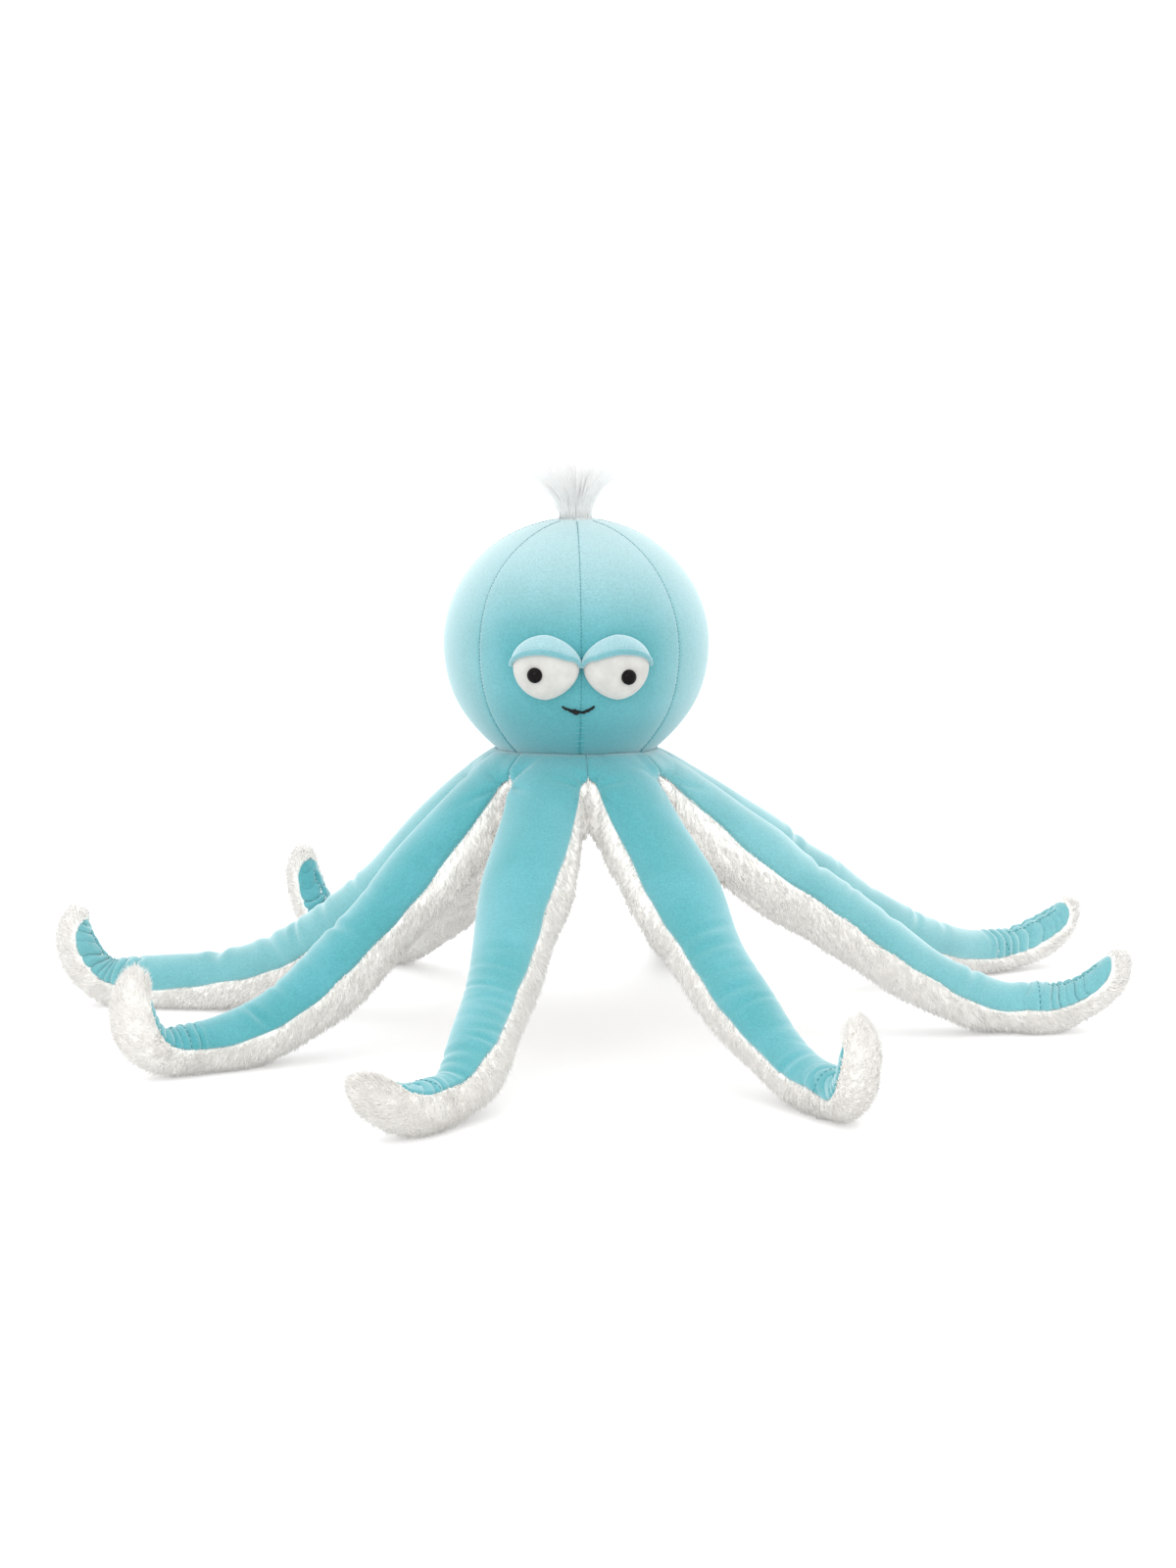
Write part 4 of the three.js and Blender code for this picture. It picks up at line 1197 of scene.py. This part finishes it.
class OCTOPUS_OT_darts(bpy.types.Operator):
    """Sews the darts and the gathers of the tips"""

    bl_idname = "octopus.darts"
    bl_label = "Darts"

    def execute(self, context):
        for arm in all_arms():
            along = np.arange(arm.tip_start + 3 * MM, arm.velour_end() - 8 * MM, DART_STITCH_PITCH)
            middle = np.zeros(len(along))
            roots = arm.on_velour(along - 0.8 * MM, middle, 0.15 * MM)
            ends = arm.on_velour(along + 0.8 * MM, middle, 0.15 * MM)
            share = np.arange(-0.85, 0.86, 0.17)
            along = np.full(len(share), arm.tip_start - 4 * MM)
            roots = np.vstack((roots, arm.on_velour(along, share - 0.04, 0.1 * MM)))
            ends = np.vstack((ends, arm.on_velour(along, share + 0.04, 0.1 * MM)))
            thread = thread_piece(f"arm_{arm.number}_thread", roots, ends, np.full(len(roots), 0.22 * MM))
            bend_tip(thread)
        return {"FINISHED"}


class OCTOPUS_OT_arm_velour(bpy.types.Operator):
    """Lays the velour over each limb and tip, with its creases, gathers and darts"""

    bl_idname = "octopus.arm_velour"
    bl_label = "Arm velour"

    def execute(self, context):
        for arm in all_arms():
            name = f"arm_{arm.number}"
            # Some arms take the paler copy of the velour, which is painted sheen
            finish = MATERIALS["side" if arm.number in SHEEN_PAINTED_ARMS else "velour"]
            sheet = arm.velour(ROOT_START, arm.split + TIP_OVERLAP, *LIMB_VELOUR_GRID)
            limb = mesh_object(f"{name}_velour", sheet, finish)
            sheet = arm.velour(arm.split, arm.velour_end(), *TIP_VELOUR_GRID)
            tip = mesh_object(f"{name}_tip_velour", sheet, finish)
            for piece, node in ((limb, f"{name}_top"), (tip, f"{name}_tip_top")):
                with_wall(piece, VELOUR_WALL)
                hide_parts(node)
            bend_limb(limb)
            bend_tip(tip)
        return {"FINISHED"}


class OCTOPUS_OT_arm_pile(bpy.types.Operator):
    """Stands long pile on the underside of each limb and round each tip"""

    bl_idname = "octopus.arm_pile"
    bl_label = "Arm pile"

    def execute(self, context):
        settings = context.scene.plush
        strand = template(3, 1, 0.0)
        for arm in all_arms():
            name = f"arm_{arm.number}"
            limb = piled(
                f"{name}_pile",
                arm.backing(ROOT_START, arm.split + TIP_OVERLAP, *LIMB_BACKING_GRID),
                arm.strands(
                    strand, ROOT_START, arm.split + TIP_OVERLAP, settings.limb_strands,
                    settings.pile_length, settings.pile_width, arm.number,
                ),
            )
            tip = piled(
                f"{name}_tip_pile",
                arm.backing(arm.split, arm.length - 0.2 * MM, *TIP_BACKING_GRID),
                arm.strands(
                    strand, arm.split, arm.length - 0.6 * MM, settings.tip_strands,
                    settings.pile_length * 0.95, settings.pile_width, 20 + arm.number,
                ),
            )
            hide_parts(f"{name}_under", f"{name}_stuffing")
            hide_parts(f"{name}_tip_under")
            bend_limb(limb)
            bend_tip(tip)
        return {"FINISHED"}


class OCTOPUS_OT_base(bpy.types.Operator):
    """Closes the trunk from below with a piled panel"""

    bl_idname = "octopus.base"
    bl_label = "Base"

    def execute(self, context):
        settings = context.scene.plush
        rng = np.random.default_rng(5)
        radii, heights = np.array(CORE_OUTLINE).T * MM
        travel = np.concatenate(([0], np.cumsum(np.hypot(np.diff(radii), np.diff(heights)))))

        def place(u, w):
            angle = math.tau * u
            at = w * travel[-1]
            radius, height = np.interp(at, travel, radii), np.interp(at, travel, heights)
            return np.stack((radius * np.cos(angle), radius * np.sin(angle), height), axis=1) + AXIS

        bm = closed(laid_grid(72, 48, place))
        count = settings.base_strands
        shape = template(3, 1, 0.0)
        at = travel[-1] * np.sqrt(rng.uniform(0, 0.62, count))
        u = rng.uniform(0, 1, count)
        points = place(u, at / travel[-1])
        ahead = unit(place(u, (at + 0.5 * MM) / travel[-1]) - points)
        round_ = np.cross((0, 0, 1), points - AXIS)
        outward = unit(np.cross(round_, ahead))
        lay = strand_lay(points, ahead, outward, 0.9, 6)
        made = [pile_strands(shape, points, outward, lay, settings.pile_length, settings.pile_width, rng)]
        for arm in all_arms():
            made.append(self.gusset(bm, arm.facing + ARM_PITCH / 2, shape, settings, rng))
        points, triangles, facing = zip(*made)
        starts = np.cumsum([0] + [len(part) for part in points[:-1]])
        triangles = [part + start for part, start in zip(triangles, starts)]
        base = piled("base_pile", bm, (np.vstack(points), np.vstack(triangles), np.vstack(facing)))
        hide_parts("base_panel", "trunk_stuffing", "collar")
        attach(base, "trunk")
        return {"FINISHED"}

    def gusset(self, bm, angle, shape, settings, rng):
        """The pile that bridges two arms right under their fork, as strands, with its backing put in the bmesh."""
        middle = AXIS + flat(angle) * GUSSET_REACH + (0, 0, GUSSET_HEIGHT)
        sizes = np.array(GUSSET_SIZES)
        turn = Matrix.Translation(Vector(middle)) @ Matrix.Rotation(math.radians(angle), 4, "Z")
        turn = turn @ Matrix.Diagonal((*(sizes - 1.4 * MM), 1))
        bmesh.ops.create_uvsphere(bm, u_segments=20, v_segments=14, radius=1, matrix=turn)
        count = settings.gusset_strands
        way = unit(rng.normal(size=(count, 3)))
        way[:, 0] = np.abs(way[:, 0])
        axes = np.array((flat(angle), flat(angle + 90), (0, 0, 1)))
        points = middle + (way * (sizes - 1 * MM)) @ axes
        outward = unit(way / sizes) @ axes
        down = unit(np.array((0, 0, -1)) - outward * -outward[:, 2:])
        lay = strand_lay(points, down, outward, 0.6, 60)
        return pile_strands(shape, points, outward, lay, settings.pile_length, settings.pile_width, rng)


class OCTOPUS_OT_head(bpy.types.Operator):
    """Lays the head's eight gores and sews their seams"""

    bl_idname = "octopus.head"
    bl_label = "Head"

    def execute(self, context):
        head = mesh_object("head_velour", head_cover(), MATERIALS["crown"])
        panels = [f"head_panel_{i + 1}" for i in range(len(GORE_ANGLES))]
        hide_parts(*panels, "head_stuffing")
        stitches = self.stitches(context.scene.plush.stitch_pitch)
        for piece in (head, stitches):
            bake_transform(piece)
        return {"FINISHED"}

    def stitches(self, pitch):
        """Short thread stitches down every seam."""
        roots, ends, widths = [], [], []
        for seam in GORE_ANGLES:
            bottom = neck_level(seam) + 1.5
            count = int(math.radians(80 - bottom) * HEAD_RADIUS / pitch)
            levels = np.linspace(bottom, 80, count)
            half = (levels[1] - levels[0]) * 0.31
            for level in levels:
                low, high = head_skin(np.full(2, float(seam)), np.array((level - half, level + half)))
                out = unit(low - AXIS - (0, 0, HEAD_HEIGHT))
                roots.append(low + out * 0.05 * MM)
                ends.append(high + out * 0.05 * MM)
                widths.append(0.2 * MM)
        return thread_piece("head_stitches", np.array(roots), np.array(ends), np.array(widths))


class OCTOPUS_OT_eyes(bpy.types.Operator):
    """Makes the stuffed eye pads, the lids with their rolled hems and the beads"""

    bl_idname = "octopus.eyes"
    bl_label = "Eyes"

    def execute(self, context):
        for side, label in ((-1, "left"), (1, "right")):
            pad = mesh_object(f"eye_{label}", self.pad(side), MATERIALS["felt"])
            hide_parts(f"eye_pad_{label}")
            lid = mesh_object(f"lid_{label}", self.lid(side), MATERIALS["lid"])
            lid.data.materials.append(MATERIALS["hem"])
            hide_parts(f"eyelid_{label}")
            bead = mesh_object(f"bead_{label}", self.bead(side), MATERIALS["bead"])
            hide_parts(f"pupil_{label}")
            for piece in (pad, lid, bead):
                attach(piece, "head")
        return {"FINISHED"}

    def pad(self, side):
        bm = closed(eye_shell(side, -180, 180, 0, *PAD_GRID))
        home = eye_matrix(side)
        centre = home @ self.bead_spot(side)
        for vertex in bm.verts:
            near = (vertex.co - centre).length / DIMPLE_RADIUS
            vertex.co += home.to_3x3() @ Vector((0, DIMPLE_DEPTH * math.exp(-near * near), 0))
        return bm

    def bead_spot(self, side):
        across = side * PUPIL_SHIFT / EYE_HALF_WIDTH
        ring = math.sqrt(1 - across * across)
        angle = -math.degrees(math.asin(PUPIL_DROPS[side] / (EYE_HALF_HEIGHT * ring)))
        return eye_point(side, across, angle)

    def bead(self, side):
        bm = bmesh.new()
        bmesh.ops.create_uvsphere(bm, u_segments=40, v_segments=24, radius=PUPIL_RADIUS)
        bmesh.ops.scale(bm, vec=(1, PUPIL_FLATNESS, 1), verts=bm.verts)
        bmesh.ops.translate(bm, vec=self.bead_spot(side) + Vector((0, 0.2 * MM, 0)), verts=bm.verts)
        bmesh.ops.transform(bm, matrix=eye_matrix(side), verts=bm.verts)
        return bm

    def lid(self, side):
        bm = eye_shell(side, lid_angle, LID_BACK_ANGLE, LID_WALL, *LID_GRID)
        absorb(bm, eye_shell(side, lid_angle, LID_BACK_ANGLE, 0.2 * MM, *LID_GRID))
        bmesh.ops.remove_doubles(bm, verts=bm.verts, dist=WELD)
        rims = [e for e in bm.edges if e.is_boundary]
        bmesh.ops.bridge_loops(bm, edges=rims)
        bmesh.ops.recalc_face_normals(bm, faces=bm.faces)
        home = eye_matrix(side)
        line, radii = [], []
        for i in range(HEM_STEPS + 1):
            across = -math.cos(math.pi * (0.03 + 0.94 * i / HEM_STEPS))
            line.append(home @ eye_point(side, across, lid_angle(side, across) + 2, LID_WALL * 0.7))
            radii.append(HEM_RADIUS * (0.55 + 0.45 * math.sin(math.pi * i / HEM_STEPS)))
        hem = tube_along(line, radii, 12)
        for face in hem.faces:
            face.material_index = 1
        absorb(bm, hem)
        return bm


class OCTOPUS_OT_mouth(bpy.types.Operator):
    """Stitches the smile in black thread"""

    bl_idname = "octopus.mouth"
    bl_label = "Mouth"

    def execute(self, context):
        face = context.scene.face
        low, thread = face.mouth_height, face.mouth_thread
        bm = bmesh.new()
        for x0, z0, x1, z1, share in MOUTH_STITCHES:
            line, radii = [], []
            for i in range(STITCH_STEPS + 1):
                t = i / STITCH_STEPS
                sag = -0.25 * math.sin(math.pi * t)
                proud = thread * share * (0.15 + 0.75 * math.sin(math.pi * t))
                line.append(face_point((x0 + (x1 - x0) * t) * MM, low + (z0 + (z1 - z0) * t + sag) * MM, proud))
                radii.append(thread * share * (0.7 + 0.3 * math.sin(math.pi * t)))
            absorb(bm, tube_along(line, radii, 8))
        mouth = mesh_object("mouth_thread", bm, MATERIALS["black"])
        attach(mouth, "head")
        return {"FINISHED"}


class OCTOPUS_OT_tuft(bpy.types.Operator):
    """Stands a brush of loose pile in the crown"""

    bl_idname = "octopus.tuft"
    bl_label = "Tuft"

    def execute(self, context):
        rng = np.random.default_rng(11)
        count = context.scene.plush.tuft_strands
        middle = Vector(JOINTS["tuft_sway"]["pos_m"])
        angle = rng.uniform(0, math.tau, count)
        reach = np.sqrt(rng.uniform(0, 1, count))
        ring = np.stack((np.cos(angle), np.sin(angle) * 0.8, np.zeros(count)), axis=1)
        roots = np.array(middle) + ring * reach[:, None] * TUFT_RADIUS - (0, 0, 2.5 * MM)
        length = rng.uniform(0.92, 1.26, count) * TUFT_HEIGHT * (1 - 0.08 * reach)
        fan = TUFT_FAN * reach * rng.uniform(0.6, 1.15, count)
        sway = rng.normal(size=(count, 2)) * 2.2 * MM
        ends = roots + ring * fan[:, None]
        ends[:, :2] += sway
        ends[:, 0] -= TUFT_LEAN
        ends[:, 2] += length
        bends = -ring * (fan * TUFT_BOW)[:, None] + rng.normal(size=(count, 3)) * 0.5 * MM
        strand = template(3, 5, 0.4)
        made = repeated(strand, roots, ends, bends, rng.uniform(*TUFT_STRAND_RADII, count) * MM)
        # The strands keep the shading of their own form.
        parts = (*made, np.zeros((count * len(strand[0]), 3)))
        bm = bmesh.new()
        bmesh.ops.create_uvsphere(bm, u_segments=32, v_segments=20, radius=TUFT_ROOT_RADIUS)
        bmesh.ops.scale(bm, vec=TUFT_ROOT_SHAPE, verts=bm.verts)
        bmesh.ops.translate(bm, vec=middle - Vector((0, 0, 2 * MM)), verts=bm.verts)
        tuft = piled("tuft_pile", bm, parts, "tuft")
        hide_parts("tuft")
        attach(tuft, "tuft")
        return {"FINISHED"}


class OCTOPUS_OT_stage(bpy.types.Operator):
    """Sets the pale floor, the soft light and the camera"""

    bl_idname = "octopus.stage"
    bl_label = "Stage"

    def execute(self, context):
        scene = context.scene
        bm = bmesh.new()
        bmesh.ops.create_circle(bm, cap_ends=True, segments=96, radius=FLOOR_RADIUS)
        floor = mesh_object("floor", bm, studio_floor("studio_paper"), smooth=False)
        world = bpy.data.worlds.new("soft_white")
        scene.world = world
        world.use_nodes = True
        sky = world.node_tree.nodes["Background"]
        sky.inputs["Color"].default_value = (1, 1, 1, 1)
        sky.inputs["Strength"].default_value = SKY_STRENGTH
        for light in SOFTBOXES:
            self.softbox(*light)
        elevation = math.radians(CAMERA_ELEVATION)
        camera_data = bpy.data.cameras.new("camera")
        camera = bpy.data.objects.new("camera", camera_data)
        scene.collection.objects.link(camera)
        camera_data.sensor_fit = "AUTO"
        camera_data.sensor_width = 36
        camera_data.lens = CAMERA_LENS
        target = Vector(AXIS) + Vector(CAMERA_AIM)
        back = Vector((0, -math.cos(elevation), math.sin(elevation)))
        camera.location = target + back * CAMERA_DISTANCE
        camera.rotation_euler = (-back).to_track_quat("-Z", "Y").to_euler()
        scene.camera = camera
        scene.view_settings.view_transform = "Standard"
        return {"FINISHED"}

    def softbox(self, name, place, aim, size, power):
        data = bpy.data.lights.new(name, "AREA")
        data.size, data.energy = size, power
        light = bpy.data.objects.new(name, data)
        light.location = place
        light.rotation_euler = (Vector(aim) - Vector(place)).to_track_quat("-Z", "Y").to_euler()
        light.visible_camera = False
        bpy.context.scene.collection.objects.link(light)


class OCTOPUS_PT_panel(bpy.types.Panel):
    """Lists the octopus' pieces and sizes"""

    bl_idname = "OCTOPUS_PT_panel"
    bl_label = "Octopus"
    bl_space_type = "VIEW_3D"
    bl_region_type = "UI"
    bl_category = "Octopus"

    def draw(self, context):
        for group in (context.scene.plush, context.scene.face):
            for name in group.__annotations__:
                self.layout.prop(group, name)
        for operator in STEPS:
            self.layout.operator(operator.bl_idname)


STEPS = (
    OCTOPUS_OT_stage,
    OCTOPUS_OT_head,
    OCTOPUS_OT_eyes,
    OCTOPUS_OT_mouth,
    OCTOPUS_OT_tuft,
    OCTOPUS_OT_yoke,
    OCTOPUS_OT_arm_velour,
    OCTOPUS_OT_darts,
    OCTOPUS_OT_arm_pile,
    OCTOPUS_OT_base,
)
CLASSES = (PlushSettings, FaceSettings, *STEPS, OCTOPUS_PT_panel)


def register():
    for cls in CLASSES:
        bpy.utils.register_class(cls)
    bpy.types.Scene.plush = PointerProperty(type=PlushSettings)
    bpy.types.Scene.face = PointerProperty(type=FaceSettings)


def unregister():
    del bpy.types.Scene.face
    del bpy.types.Scene.plush
    for cls in reversed(CLASSES):
        bpy.utils.unregister_class(cls)


def main():
    register()
    make_materials()
    for step in STEPS:
        getattr(bpy.ops.octopus, step.bl_idname.removeprefix("octopus."))()


if __name__ == "__main__":
    main()
